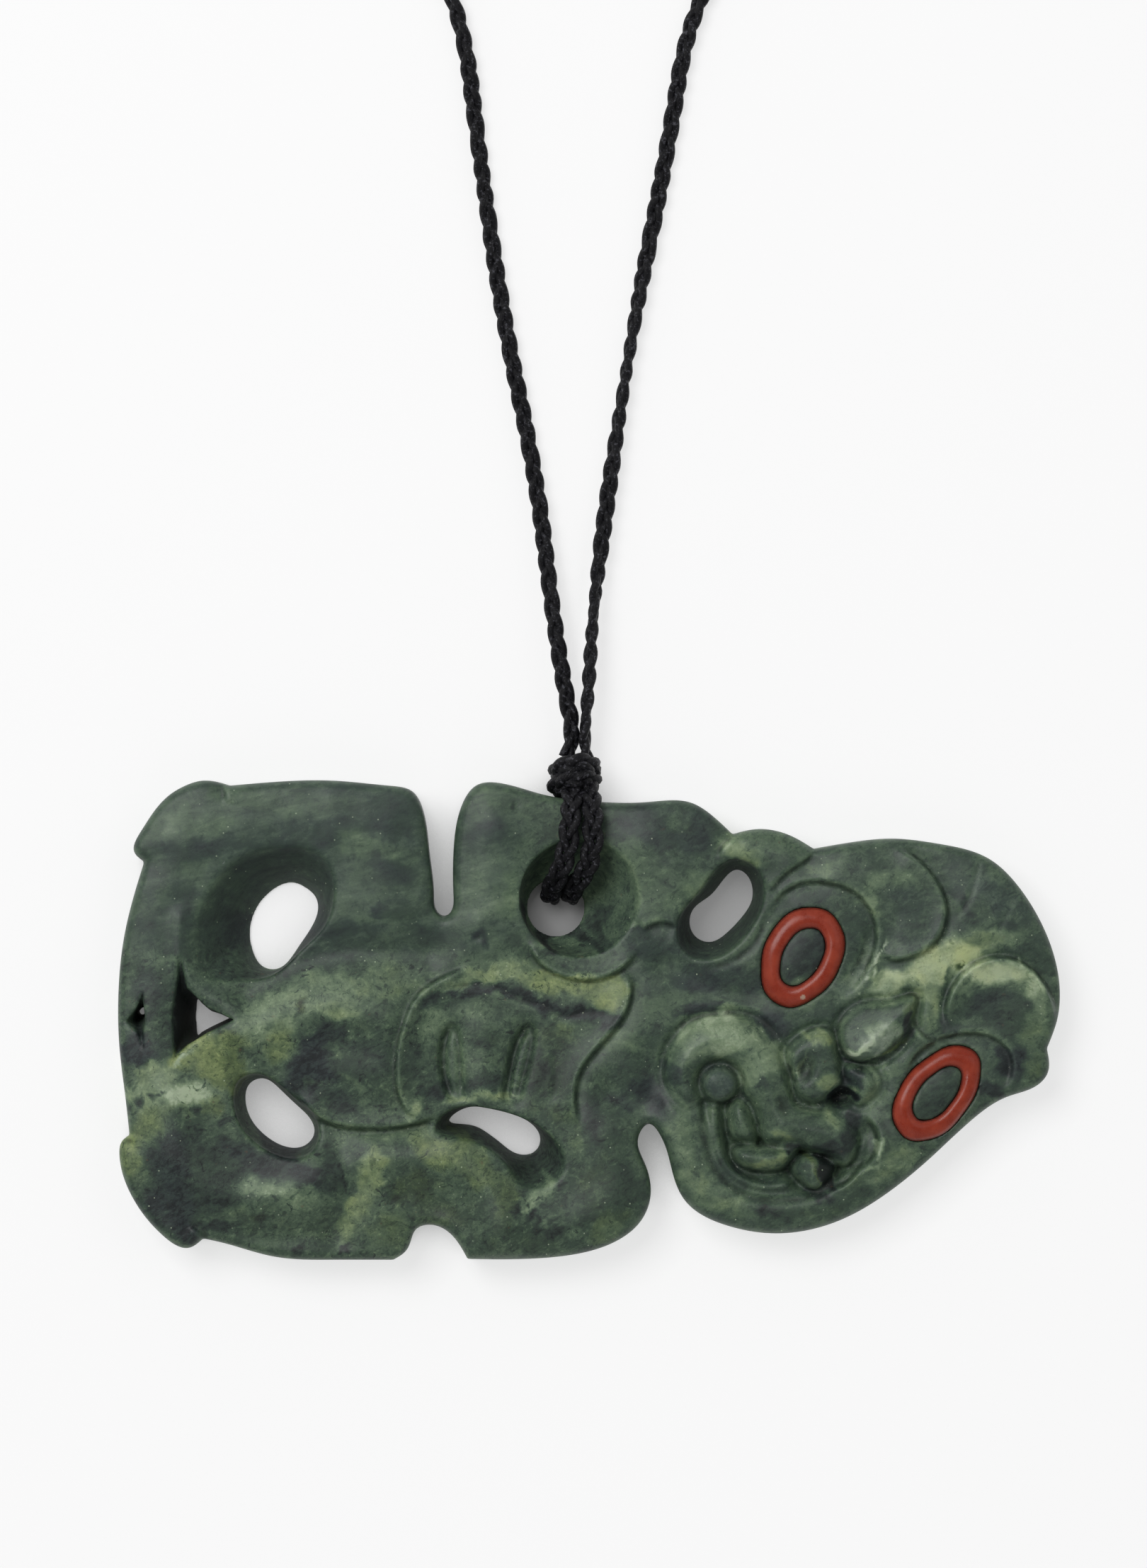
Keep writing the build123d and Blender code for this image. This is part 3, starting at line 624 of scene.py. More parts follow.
# How deep the carving is, against the tables; how wide a ledge's step is, how quickly a ledge and a cut fade
# in at their ends, and how steep a pit's side is.
carving = {"swell": 1.7, "rise": 1.9, "sink": 2.1, "moat": 0.6, "step": 0.36, "ledgeEnds": 7, "cutEnds": 6,
           "cutEase": 0.7, "pitSide": 1.5}
# How far off each form is still felt: in half widths for the first three, then in millimetres.
reaches = {"swell": 2.6, "ledge": 3, "cut": 3, "face": 1.2, "mouth": 1, "opening": 4}
# Bands of painted shade, and of wear with painted highlight, beside a line: how far up its slope the
# middle lies, and the half width.
bands = {"ledgeShade": (-0.2, 0.3), "ledgeWearAndHighlight": (0.35, 0.25), "faceMoat": (-0.35, 0.4),
         "faceShade": (-0.1, 0.28), "faceWearAndHighlight": (0.4, 0.25), "dishWearAndHighlight": (0.2, 0.25)}
cutBands = {"shade": 0.75, "wearAndHighlight": 1.7, "highlightWidth": 0.22}  # the first two against the cut's half width
bandShares = {"ledgeShade": 0.9, "cutWearAndHighlight": 0.6}  # the bands that count for less than the others
# How wide the edge of an opening is in the layers, and how much of it lies inside a rim and inside the dish.
rimFade = {"width": 0.8, "opening": 0.9, "dish": 0.5, "dishWearAndHighlight": 3}
flareEnds = {"opening": 1.15, "dish": 1.3}  # above the front, against its height, where a flare goes on to
# The front's unevenness: height, size of a blotch and seed.
unevenness = [(0.07, 5.5, 1), (0.035, 2.1, 2), (0.012, 0.9, 3)]
# Soft rises and hollows: height, half width and the line that each follows.
swells = {
    "torso": (0.75, 3.6, [(-40.5, -1.2), (-35, 0.5), (-29, 1.3), (-24, 0.3)]),
    "torso side": (0.35, 3.0, [(-33, -5), (-27, -6), (-23.5, -6)]),
    "over the torso": (-0.55, 2.4, [(-40, 3.2), (-35, 6.4), (-29, 8.0), (-23, 8.2), (-19, 8.0)]),
    "thigh": (0.25, 5.0, [(-46, 22), (-36, 24), (-25, 22), (-23, 14)]),
    "shin": (0.2, 2.6, [(-50.5, 15), (-50.8, 6), (-51, -4)]),
    "hip ridge": (0.3, 1.1, [(-47.6, 12), (-47.2, 5.6), (-44.6, 2.9), (-41.6, 1.9)]),
    "leg": (0.5, 3.0, [(-49, -9), (-48, -15.5), (-43, -20), (-37, -20.8), (-31.5, -18.5)]),
    "sole": (-0.3, 2.0, [(-42, -24.5), (-36, -25), (-31, -24)]),
    "arm": (0.55, 2.6, [(-27, -15.6), (-21, -15.2), (-15, -16.6), (-11.5, -20), (-10.5, -25)]),
    "under the arm": (-0.35, 2.2, [(-21, -20), (-18, -21.5)]),
    "limb valley": (-0.4, 2.0, [(-28.4, -15.6), (-28.0, -18), (-28.4, -21.5), (-29.2, -25.5)]),
    "under the torso": (-0.3, 2.4, [(-31, -14.4), (-26, -14.8), (-20, -14)]),
    "elbow": (0.35, 3.4, [(2.4, -14), (3, -20), (-3, -24.4), (-8, -24)]),
    "first finger": (-0.35, 1.15, [(-16.2, -1.6), (-16.3, -4.4), (-15.4, -8.6)]),
    "second finger": (-0.4, 1.25, [(-7.4, -1.4), (-8.0, -4.4), (-8.9, -8.6)]),
    "between the fingers": (0.2, 2.0, [(-12.4, -1.5), (-12.2, -7.5)]),
    "shoulder": (0.35, 3.4, [(-11.5, 22), (-12.5, 12)]),
    "upper arm": (0.45, 4.0, [(7, 21), (10.5, 16)]),
    "under the ear": (-0.35, 2.0, [(9, 6.5), (15, 3.6), (20, 3.2)]),
    "neck": (-0.5, 2.2, [(2.6, -8.5), (7, -9), (7.6, -5)]),
    "cheek": (0.3, 2.2, [(9.6, -9.5), (10.8, -15), (14, -20.6), (20, -22.6), (27, -21.8)]),
    "lower cheek": (0.35, 2.6, [(34.5, -16), (37, -11), (34, -6)]),
    "upper eye": (0.35, 3.4, [(24.2, 6.4), (25.5, 8.4)]),
    "lower eye": (0.35, 3.2, [(40, -9.2), (41.2, -7.8)]),
    "forehead": (0.45, 3.4, [(30, 18), (36, 14), (37.5, 11)]),
    "crown": (0.2, 3.4, [(46, 14), (50, 9)]),
    "bridge": (0.3, 1.8, [(36.5, 5.5), (39.6, 3), (38.8, -1.5)]),
    "ear lobe": (0.3, 1.8, [(18.6, 20.2), (23, 19)]),
    "gum": (0.75, 0.8, [(14.6, -10.2), (14.8, -13.6), (15.8, -16.6), (18.6, -18.8), (22.8, -19.2)]),
    "mouth corner": (-0.5, 1.3, [(32.2, -13.4), (31.4, -16.2)]),
}
# Crisp edges, higher on the left of the line's direction: how high and wide the rise is on that side, how
# deep and wide the cut on the other, and the line.
ledges = {
    "torso foot": (0.3, 2.0, 0.6, 1.5, [
        (-34.4, -8.2), (-32.6, -10.6), (-30.4, -12.0), (-27.0, -12.6), (-22.5, -12.5), (-19.6, -11.9),
        (-17.2, -11.0)]),
    "hand": (0.45, 1.2, 0.12, 0.8, [
        (-13.6, 6.7), (-15.6, 5.7), (-18.2, 4.4), (-20.3, 2.6), (-21.5, 0), (-22.3, -3), (-22.5, -6.5),
        (-22.0, -9.3), (-20.7, -11.0), (-18.8, -11.5)]),
    "wrist end": (0.5, 1.1, 0.3, 0.9, [
        (-1.2, -12.4), (-1.6, -9), (-1.0, -6), (0.6, -3.7), (2.4, -1.7), (4.2, 0.7), (4.9, 2.8), (4.8, 4.9),
        (4.0, 6.2)]),
    "dish rim": (0.5, 1.1, 0.35, 0.9, [
        (-7.4, 9.4), (-6.3, 7.3), (-4.6, 5.8), (-2.2, 4.9), (0.4, 4.7), (2.8, 5.4), (4.8, 6.9), (6.0, 8.6)]),
    "shoulder foot": (0.25, 2.4, 0.25, 1.6, [(6.2, 10.4), (7.4, 11.2), (9.0, 11.4), (10.4, 10.9)]),
    "upper socket": (0.2, 0.9, 0.38, 1.3, [
        (21.0, 12.0), (22.3, 14.5), (25, 16), (28.2, 16), (31.2, 14.8), (33, 12.4), (33.5, 9.8),
        (32.9, 7.2), (31.4, 4.4), (29.4, 2.4)]),
    "forehead": (0.5, 1.6, 0.35, 1.1, [
        (33.6, 8.0), (35.2, 7.1), (37.6, 7.4), (39.9, 8.7), (41.3, 10.6), (41.7, 13.3), (40.5, 16.3),
        (38.3, 18.8), (35.3, 20.6)]),
    "second brow": (0.55, 1.5, 0.45, 1.0, [
        (54.6, -0.6), (54.1, 2.2), (52.8, 4.7), (50.5, 6.7), (47.7, 7.4), (45, 6.6), (42.7, 4.4),
        (41.6, 1.5), (41.7, -1.0)]),
    "lower socket": (0.15, 0.8, 0.35, 1.1, [
        (36.6, -6.6), (38.4, -3.8), (41.2, -2.1), (44.2, -1.5), (46.9, -1.9), (48.9, -3.5), (49.4, -5.8),
        (48.3, -8.4)]),
    "brow side": (0.25, 1.2, 0.2, 0.9, [(41.9, -2.2), (40.0, -2.3), (38.6, -1.4), (37.9, 0.2)]),
    "jaw crest": (0.4, 1.0, 0.45, 0.8, [
        (31.9, -11.0), (33.3, -12.5), (33.7, -14.4), (33.1, -16.0), (31.6, -17.2), (30.4, -18.6),
        (27.8, -19.9)]),
    "ear front": (0.25, 1.0, 0.2, 0.9, [(16.9, 21.4), (15.6, 20.2), (15.0, 19.2)]),
    "ear back": (0.2, 1.0, 0.25, 0.9, [(21.0, 15.0), (23.6, 17.6), (25.4, 18.8), (26.3, 19.8)]),
    "heel": (0.25, 1.2, 0.2, 1.0, [(-54.3, -13.7), (-53.0, -14.0)]),
    "foot": (0.3, 1.0, 0.2, 0.9, [(-44.6, -25.7), (-45.6, -24.6), (-46.6, -24.0)]),
    "knee": (0.25, 1.2, 0.15, 1.0, [(-43.0, 27.6), (-42.4, 26.6), (-42.6, 25.6)]),
}
# Raised pieces of the face: level of the top and of the foot, width of the shoulder, how deep the line round
# them is and how dark with painted shade, how much they fall off from their ridge, the ridge, and the loop.
faces = {
    "jaw": (1.9, -0.4, 1.6, 0.5, 0.0, None, [
        (8.8, -6.5), (9.2, -3.6), (10.6, -1.4), (12.4, 0.1), (14.6, 0.6), (17.0, 0.7), (18.9, 0.2),
        (20.2, -0.7), (21.6, -2.3), (22.9, -4.0), (23.6, -5.8), (24.0, -7.6), (24.4, -9.6), (26.3, -10.2),
        (28.2, -10.6), (29.9, -11.4), (31.3, -13.0), (31.4, -14.9), (29.6, -17.2), (27.9, -16.1),
        (26.5, -15.7), (24.5, -15.2), (21.5, -14.9), (20.4, -14.4), (19.9, -13.1), (19.4, -11.3),
        (18.8, -9.7), (17.6, -7.7), (17.1, -6.0), (15.4, -5.0), (13.4, -5.7), (12.8, -7.4), (13.0, -9.2),
        (11.6, -10.2), (9.8, -8.8)]),
    "nostril": (1.7, -0.4, 0.42, 0.9, 0.10, [(24.0, -4.6), (27.6, -3.0)], [
        (22.9, -3.8), (24.3, -2.0), (26.1, -1.0), (28.3, -1.1), (29.0, -2.6), (29.3, -5.2), (29.6, -6.8),
        (29.0, -8.0), (27.6, -9.4), (25.6, -9.6), (24.2, -8.6), (23.5, -6.4)]),
    "wing": (1.3, -0.4, 0.6, 0.7, 0.0, None, [
        (29.8, -5.4), (31.8, -5.0), (33.6, -5.9), (34.1, -7.3), (32.9, -9.2), (31.2, -9.9), (30.6, -8.6),
        (30.9, -7.4), (30.0, -6.6)]),
    "nose": (2.0, -0.3, 0.22, 1.0, 0.42, [(30.6, -4.2), (32.9, -2.4), (38.0, 2.3)], [
        (29.0, -1.0), (29.7, 0.5), (32.0, 2.1), (35.4, 2.4), (38.2, 2.9), (38.0, 0.9), (37.7, -0.8),
        (36.3, -2.9), (33.8, -4.7), (31.1, -4.7), (29.5, -3.5)]),
    "boss": (1.3, -0.8, 0.25, 1.0, 0.18, [(14.2, -6.4), (16.2, -8.4)], [
        (13.1, -7.4), (13.7, -6.0), (15.2, -5.3), (16.7, -5.9), (17.4, -7.5), (16.8, -9.0), (15.2, -9.6),
        (13.7, -8.9)]),
    "tongue": (0.9, -1.6, 0.9, 0.8, 0.0, None, [
        (16.2, -10.0), (17.4, -8.9), (18.6, -9.7), (19.4, -11.5), (19.8, -13.3), (19.6, -14.6),
        (17.8, -14.5), (16.6, -13.7), (16.1, -11.8)]),
    "lip": (1.2, -1.6, 0.6, 1.0, 0.0, None, [
        (16.8, -15.1), (17.9, -14.5), (20.4, -14.6), (24.7, -15.1), (23.8, -16.5), (22.9, -17.3),
        (20.4, -17.7), (18.4, -17.4), (17.0, -16.4)]),
    "tooth": (1.2, -1.6, 0.25, 1.0, 0.6, [(26.3, -15.6), (26.1, -19.8)], [
        (23.4, -17.4), (24.7, -15.7), (26.6, -15.8), (29.0, -16.8), (28.2, -18.8), (26.1, -19.8),
        (24.3, -18.6)]),
}
mouthPocket = {"deep": 1.7, "shoulder": 0.45, "loop": [
    (13.0, -9.2), (13.4, -12.2), (13.8, -15.1), (14.7, -17.2), (16.5, -19.2), (18.8, -20.4), (21.5, -20.8),
    (23.8, -20.6), (25.9, -20.3), (28.1, -19.2), (29.8, -18.0), (31.0, -16.4), (29.8, -15.4), (27.0, -14.6),
    (23.0, -14.0), (20.5, -13.0), (19.3, -10.0), (17.5, -8.8), (15.2, -9.2)]}
# Cut lines: depth, half width and the line.
cuts = {
    "first finger": (1.0, 0.42, [
        (-15.8, -0.3), (-16.7, -1.8), (-17.1, -4.2), (-16.9, -6.4), (-16.0, -9.4)]),
    "first finger, far side": (0.55, 0.3, [
        (-15.8, -0.3), (-15.3, -2.6), (-15.1, -5.2), (-15.0, -7.4), (-15.0, -9.2)]),
    "second finger": (1.15, 0.46, [(-6.6, -0.3), (-8.0, -1.8), (-8.9, -4.2), (-9.4, -6.8), (-9.8, -9.6)]),
    "second finger, far side": (0.55, 0.32, [
        (-6.6, -0.3), (-6.7, -2.4), (-7.2, -4.8), (-7.9, -7.4), (-8.4, -9.6)]),
    "knuckle crack": (0.22, 0.35, [
        (-17.8, 3.5), (-14, 4.2), (-10.2, 3.6), (-7.4, 2.2), (-5.0, 1.6), (-3.6, 0.6), (-0.4, 1.0),
        (3.2, 0.2)]),
    "third finger": (0.2, 0.3, [(-4.2, -3.6), (-3.8, -6.4), (-4.4, -9.6)]),
    "crown": (0.22, 0.2, [(45.6, 19.0), (45.0, 16.3), (43.9, 13.4), (42.6, 11.9)]),
    "second crown": (0.16, 0.18, [(50.0, 15.2), (48.8, 12.6), (47.4, 9.9)]),
    "jaw": (0.45, 0.4, [
        (13.0, -9.0), (13.2, -12.2), (13.7, -15.1), (14.6, -17.3), (16.4, -19.3), (18.8, -20.6),
        (21.5, -21.0), (23.8, -20.9), (26.0, -20.5), (28.2, -19.4)]),
    "gum": (0.5, 0.34, [
        (16.2, -9.9), (16.0, -12.0), (16.2, -14.4), (17.0, -16.8), (19.0, -18.4), (22.9, -19.0)]),
    "upper lip": (0.45, 0.28, [
        (17.7, -8.4), (18.8, -9.4), (19.6, -11.3), (20.0, -13.6), (21.4, -14.8), (24.7, -15.3),
        (27.6, -16.2), (29.8, -17.4)]),
    "boss rim": (0.35, 0.3, [
        (13.0, -8.8), (12.7, -6.8), (13.8, -5.1), (15.9, -4.8), (17.6, -6.0), (18.0, -7.8), (17.2, -9.5)]),
    "nostril side": (0.45, 0.3, [
        (22.6, -3.0), (23.5, -5.4), (23.8, -8.2), (24.4, -9.8), (26.0, -10.4), (28.0, -10.7)]),
    "cheek": (0.3, 0.5, [
        (8.7, -6.4), (9.0, -3.2), (11.4, -0.2), (15.6, 0.9), (19.6, 0.4), (22.4, -2.4), (23.3, -4.4)]),
    "ring side": (0.3, 0.35, [(29.9, 3.9), (31.3, 6.4), (32.2, 8.6), (32.4, 10.6)]),
    "ear rim": (0.2, 0.4, [(13.2, 6.0), (16.8, 7.0), (19.6, 9.4), (21.0, 12.6)]),
    "under the star": (0.12, 0.3, [(-52.0, -5.8), (-51.2, -4.6)]),
}
# Small hollows: along, across, half length, half width, turn in degrees and depth.
pits = [
    (25.2, -5.6, 1.7, 1.0, 70, 1.1), (29.4, -9.1, 1.6, 1.0, 20, 2.6), (-13.0, 9.7, 0.45, 0.35, 0, 0.3),
    (-8.5, 25.0, 0.35, 0.3, 0, 0.2), (-23.1, -21.0, 0.4, 0.25, 10, 0.15), (31.6, -5.7, 0.8, 0.6, 30, 0.35),
    (22.6, -9.8, 0.8, 1.2, 20, 0.25),
]
# The waves of a wax ring's edge: how many go round, how often the ring's own start counts, and height.
ringWaves = [(2, 1, 0.10), (3, 2, 0.10), (7, 1, 0.05)]
ringSizes = {"bed": 6.3, "gap": 0.05, "proud": 0.62, "sunk": 0.05, "crown": 2.6, "lump": 0.05,
             "lumpSize": 1.6, "lumpSeed": 21, "rows": 13, "rowStart": 0.12, "evened": 6, "steps": 96,
             "innerWaves": 0.5}
# Each ring: half length and half width outside and inside, turn in degrees, where its waves start, its node.
rings = {
    "upperRing": {"middle": (24.85, 7.45), "outside": (6.15, 4.5), "inside": (3.7, 2.25), "turned": -31.0,
                  "wave": 3.0, "node": "upper_eye_ring"},
    "lowerRing": {"middle": (40.6, -8.5), "outside": (6.35, 4.05), "inside": (3.75, 2.05), "turned": -40.0,
                  "wave": 11.0, "node": "lower_eye_ring"},
}


def splineThrough(points, closed=False, step=0.6):
    # a natural or periodic cubic through the points, read every step millimetres
    knots = np.array(points, float)
    if closed:
        knots = np.vstack([knots, knots[:1]])
    spans = np.linalg.norm(np.diff(knots, axis=0), axis=1)
    slopes = np.diff(knots, axis=0) / spans[:, None]
    matrix = np.zeros((len(knots), len(knots)))
    right = np.zeros((len(knots), 2))
    for k in range(1, len(knots) - 1):
        matrix[k, k - 1:k + 2] = spans[k - 1], 2 * (spans[k - 1] + spans[k]), spans[k]
        right[k] = 6 * (slopes[k] - slopes[k - 1])
    if closed:
        matrix[0, 0], matrix[0, 1], matrix[0, -2] = 2 * (spans[-1] + spans[0]), spans[0], spans[-1]
        right[0] = 6 * (slopes[0] - slopes[-1])
        matrix[-1, 0], matrix[-1, -1] = 1, -1
    else:
        matrix[0, 0] = matrix[-1, -1] = 1
    bends = np.linalg.solve(matrix, right)
    line = []
    for k, span in enumerate(spans):
        t = np.linspace(0, span, max(2, math.ceil(span / step) + 1))[:-1, None]
        back = span - t
        line.append((bends[k] * back ** 3 + bends[k + 1] * t ** 3) / (6 * span)
                    + (knots[k] / span - bends[k] * span / 6) * back
                    + (knots[k + 1] / span - bends[k + 1] * span / 6) * t)
    line = np.vstack(line)
    return line if closed else np.vstack([line, knots[-1:]])


def nearLine(line, x, y, closed=False):
    # distance from the line, the share of its length at the nearest point, +1 on its left and -1 on its right
    ends = np.vstack([line[1:], line[:1]]) if closed else line[1:]
    spans = np.linalg.norm(ends - line[:len(ends)], axis=1)
    total = spans.sum()
    best = np.full(x.shape, np.inf)
    share = np.zeros(x.shape)
    side = np.ones(x.shape)
    passed = 0.0
    for (ax, ay), (bx, by), span in zip(line, ends, spans):
        dx, dy = bx - ax, by - ay
        t = np.clip(((x - ax) * dx + (y - ay) * dy) / (span * span), 0, 1)
        px, py = x - ax - t * dx, y - ay - t * dy
        distance = px * px + py * py
        closer = distance < best
        best = np.where(closer, distance, best)
        share = np.where(closer, (passed + t * span) / total, share)
        side = np.where(closer, np.where(dx * py - dy * px < 0, -1.0, 1.0), side)
        passed += span
    return np.sqrt(best), share, side


def loopDistance(line, x, y):
    # signed distance from a closed line, negative inside it
    inside = np.zeros(x.shape, bool)
    for (ax, ay), (bx, by) in zip(line, np.roll(line, -1, axis=0)):
        if ay != by:
            inside ^= ((ay > y) != (by > y)) & (x < (bx - ax) * (y - ay) / (by - ay) + ax)
    distance = nearLine(line, x, y, True)[0]
    return np.where(inside, -distance, distance)


def ramp(values, start, width):
    # 0 up to the start, then 1 after that width
    return np.clip((values - start) / width, 0, 1)


def eased(share):
    return share * share * (3 - 2 * share)


def bell(distance, width):
    return np.exp(-(distance / width) ** 2)


def band(name, distance):
    middle, width = bands[name]
    return bell(distance - middle, width)


def between(values, i, j, u, v):
    # the value at the shares u and v of the way to the next place of a grid, which repeats past its end
    rows, columns = values.shape
    corner = [[values[(i + a) % rows, (j + b) % columns] for b in (0, 1)] for a in (0, 1)]
    return (corner[0][0] * (1 - u) * (1 - v) + corner[1][0] * u * (1 - v)
            + corner[0][1] * (1 - u) * v + corner[1][1] * u * v)


blotchGrid = {"side": 128, "shiftX": 61.3, "shiftY": 57.7}


def blotches(x, y, size, seed):
    # smooth noise between -1 and 1, in blotches of that size
    values = np.random.default_rng(seed).uniform(-1, 1, (blotchGrid["side"], blotchGrid["side"]))
    u, v = x / size + blotchGrid["shiftX"], y / size + blotchGrid["shiftY"]
    i, j = np.floor(u).astype(int), np.floor(v).astype(int)
    return between(values, i, j, eased(u - i), eased(v - j))


def ovalCover(x, y, oval, tight, power):
    # 1 in the middle of a turned oval (along, across, half length, half width, degrees) and 0 well past it
    middleX, middleY, halfLong, halfShort, turned = oval
    c, s = math.cos(math.radians(turned)), math.sin(math.radians(turned))
    along = (x - middleX) * c + (y - middleY) * s
    across = (y - middleY) * c - (x - middleX) * s
    return np.exp(-(tight * (along / halfLong) ** 2 + tight * (across / halfShort) ** 2) ** power)


def ringEdge(ring, edge, grow=0.0):
    # a ring's outer or inner edge, a little uneven as wax is, and more so outside
    halfLong, halfShort = ring[edge]
    angle = np.linspace(0, 2 * math.pi, ringSizes["steps"], endpoint=False)
    wave = sum(height * np.sin(count * angle + often * ring["wave"]) for count, often, height in ringWaves)
    wave = wave * (ringSizes["innerWaves"] if edge == "inside" else 1.0) + grow
    across, along = (halfShort + wave) * np.cos(angle), (halfLong + wave) * np.sin(angle)
    c, s = math.cos(math.radians(ring["turned"])), math.sin(math.radians(ring["turned"]))
    x, y = ring["middle"]
    return np.stack([x + across * c - along * s, y + across * s + along * c], axis=1)


def softened(values):
    # each place averaged with its neighbours, so that steep steps stay even
    for axis in (0, 1):
        values = 0.25 * np.roll(values, 1, axis) + 0.5 * values + 0.25 * np.roll(values, -1, axis)
    return values


def windowOn(x, y, points, reach):
    # the part of the grid within reach of the box round the points
    low, high = np.min(points, axis=0) - reach, np.max(points, axis=0) + reach
    rows = np.searchsorted(x[:, 0], [low[0], high[0]])
    columns = np.searchsorted(y[0], [low[1], high[1]])
    return np.s_[rows[0]:rows[1], columns[0]:columns[1]]


def nearPart(front, points, reach):
    # the window on a line, and what nearLine says there
    part = windowOn(front["x"], front["y"], points, reach)
    return part, *nearLine(splineThrough(points), front["x"][part], front["y"][part])


def inPart(front, points, reach):
    # the window on a loop, and how far inside it each place lies
    part = windowOn(front["x"], front["y"], points, reach)
    return part, -loopDistance(splineThrough(points, True), front["x"][part], front["y"][part])


def shoulderOf(inward, width):
    # 0 at the edge and outside, nearing 1 inside
    return 1 - np.exp(-np.clip(inward, 0, None) / width)


def strengthen(front, layer, part, values):
    # the layer keeps what is stronger there
    front[layer][part] = np.maximum(front[layer][part], values)


def addSwells(front):
    for height, width, points in swells.values():
        part, distance = nearPart(front, points, reaches["swell"] * width)[:2]
        front["top"][part] += carving["swell"] * height * bell(distance, width)


def addLedges(front):
    for rise, riseWidth, sink, sinkWidth, points in ledges.values():
        part, distance, share, side = nearPart(front, points, reaches["ledge"] * max(riseWidth, sinkWidth))
        ends = eased(np.clip(np.minimum(share, 1 - share) * carving["ledgeEnds"], 0, 1))
        step = eased(np.clip(0.5 + side * distance / carving["step"], 0, 1))
        high = carving["rise"] * rise * np.exp(-distance / riseWidth)
        low = -carving["sink"] * sink * np.exp(-distance / sinkWidth)
        front["top"][part] += (low + (high - low) * step) * ends
        # painted shade on the low side of the step
        shade = bandShares["ledgeShade"] * ends * band("ledgeShade", distance * side)
        strengthen(front, "cavity", part, shade)
        # a paler band on the high side of the step: wear with painted highlight
        strengthen(front, "worn", part, ends * band("ledgeWearAndHighlight", distance * side))


def addFaces(front):
    top = front["top"]
    for level, foot, shoulder, line, fall, ridge, points in faces.values():
        part, inward = inPart(front, points, reaches["face"])
        height = foot + (level - foot) * shoulderOf(inward, shoulder)
        if ridge:
            height = height - fall * nearLine(splineThrough(ridge), front["x"][part], front["y"][part])[0]
        top[part] -= carving["moat"] * line * band("faceMoat", inward)
        top[part] = np.where(inward > 0, np.maximum(top[part], stoneSizes["ground"] + height), top[part])
        # painted shade just outside the raised piece's edge
        strengthen(front, "cavity", part, line * band("faceShade", inward))
        # a paler band on top, inside the edge: wear with painted highlight
        strengthen(front, "worn", part, band("faceWearAndHighlight", inward))


def addCuts(front):
    for deep, width, points in cuts.values():
        part, distance, share = nearPart(front, points, reaches["cut"] * width)[:3]
        ends = np.clip(np.minimum(share, 1 - share) * carving["cutEnds"], 0, 1) ** carving["cutEase"]
        front["top"][part] -= deep * ends * bell(distance, width)
        # painted shade in the cut
        strengthen(front, "cavity", part, ends * bell(distance, cutBands["shade"] * width))
        # a paler band beside the cut: wear with painted highlight
        wearAndHighlight = bell(distance - cutBands["wearAndHighlight"] * width, cutBands["highlightWidth"])
        strengthen(front, "worn", part, bandShares["cutWearAndHighlight"] * ends * wearAndHighlight)


def stoneTop(x, y):
    # height of the carved front, how much painted shade lies in each cut and crease, and how near an edge
    # that is lighter with wear and painted highlight
    front = {"x": x, "y": y, "cavity": np.zeros(x.shape), "worn": np.zeros(x.shape)}
    inward = np.clip(-loopDistance(outlineLine, x, y), 0, None)
    front["top"] = stoneSizes["ground"] - stoneSizes["edgeFall"] * bell(inward, stoneSizes["edgeFallWidth"])
    front["top"] += sum(height * blotches(x, y, size, seed) for height, size, seed in unevenness)
    addSwells(front)
    part, inward = inPart(front, mouthPocket["loop"], reaches["mouth"])
    front["top"][part] -= mouthPocket["deep"] * shoulderOf(inward, mouthPocket["shoulder"])
    addLedges(front)
    addFaces(front)
    addCuts(front)
    for *oval, deep in pits:
        hollow = ovalCover(x, y, oval, 1.0, carving["pitSide"])
        front["top"] -= deep * hollow
        # painted shade in the pit
        strengthen(front, "cavity", ..., hollow)
        front["worn"] *= 1 - hollow
    dishX, dishY, dishRadius = hanging["dish"]
    fromRim = np.hypot(x - dishX, y - dishY) - dishRadius
    # a paler band on the dish's right rim: wear with painted highlight
    strengthen(front, "worn", ..., ramp(x, dishX, rimFade["dishWearAndHighlight"]) * band("dishWearAndHighlight", fromRim))
    return {**front, "top": softened(front["top"]), "cavity": softened(front["cavity"])}


def roundJoin(first, second, radius):
    # the shared inside of two shapes, with the edge between them rounded
    corner = np.hypot(np.maximum(first + radius, 0), np.maximum(second + radius, 0))
    return np.minimum(np.maximum(first, second), -radius) + corner


def cutOpenings(field, front, z):
    # the pierced openings, from the rim in front to the rim at the back
    x, y = front["x"], front["y"]
    share = np.clip(z / stoneSizes["ground"], 0, flareEnds["opening"])
    for rounding, flare, wallShade, smooth, rows in openings.values():
        rims = [np.array([row[:2] for row in rows]), np.array([row[2:] for row in rows])]
        if smooth:
            rims = [splineThrough(rim, True) for rim in rims]
        part = windowOn(x, y, rims[0], reaches["opening"])
        ahead, behind = [loopDistance(rim, x[part], y[part])[:, :, None] for rim in rims]
        wall = behind + (ahead - behind) * share ** flare
        field[part] = roundJoin(field[part], -wall, rounding)
        here = np.clip(rimFade["opening"] - ahead[:, :, 0] / rimFade["width"], 0, 1)
        strengthen(front, "inside", part, here)
        # painted shade on the opening's wall
        front["dark"][part] += wallShade * here


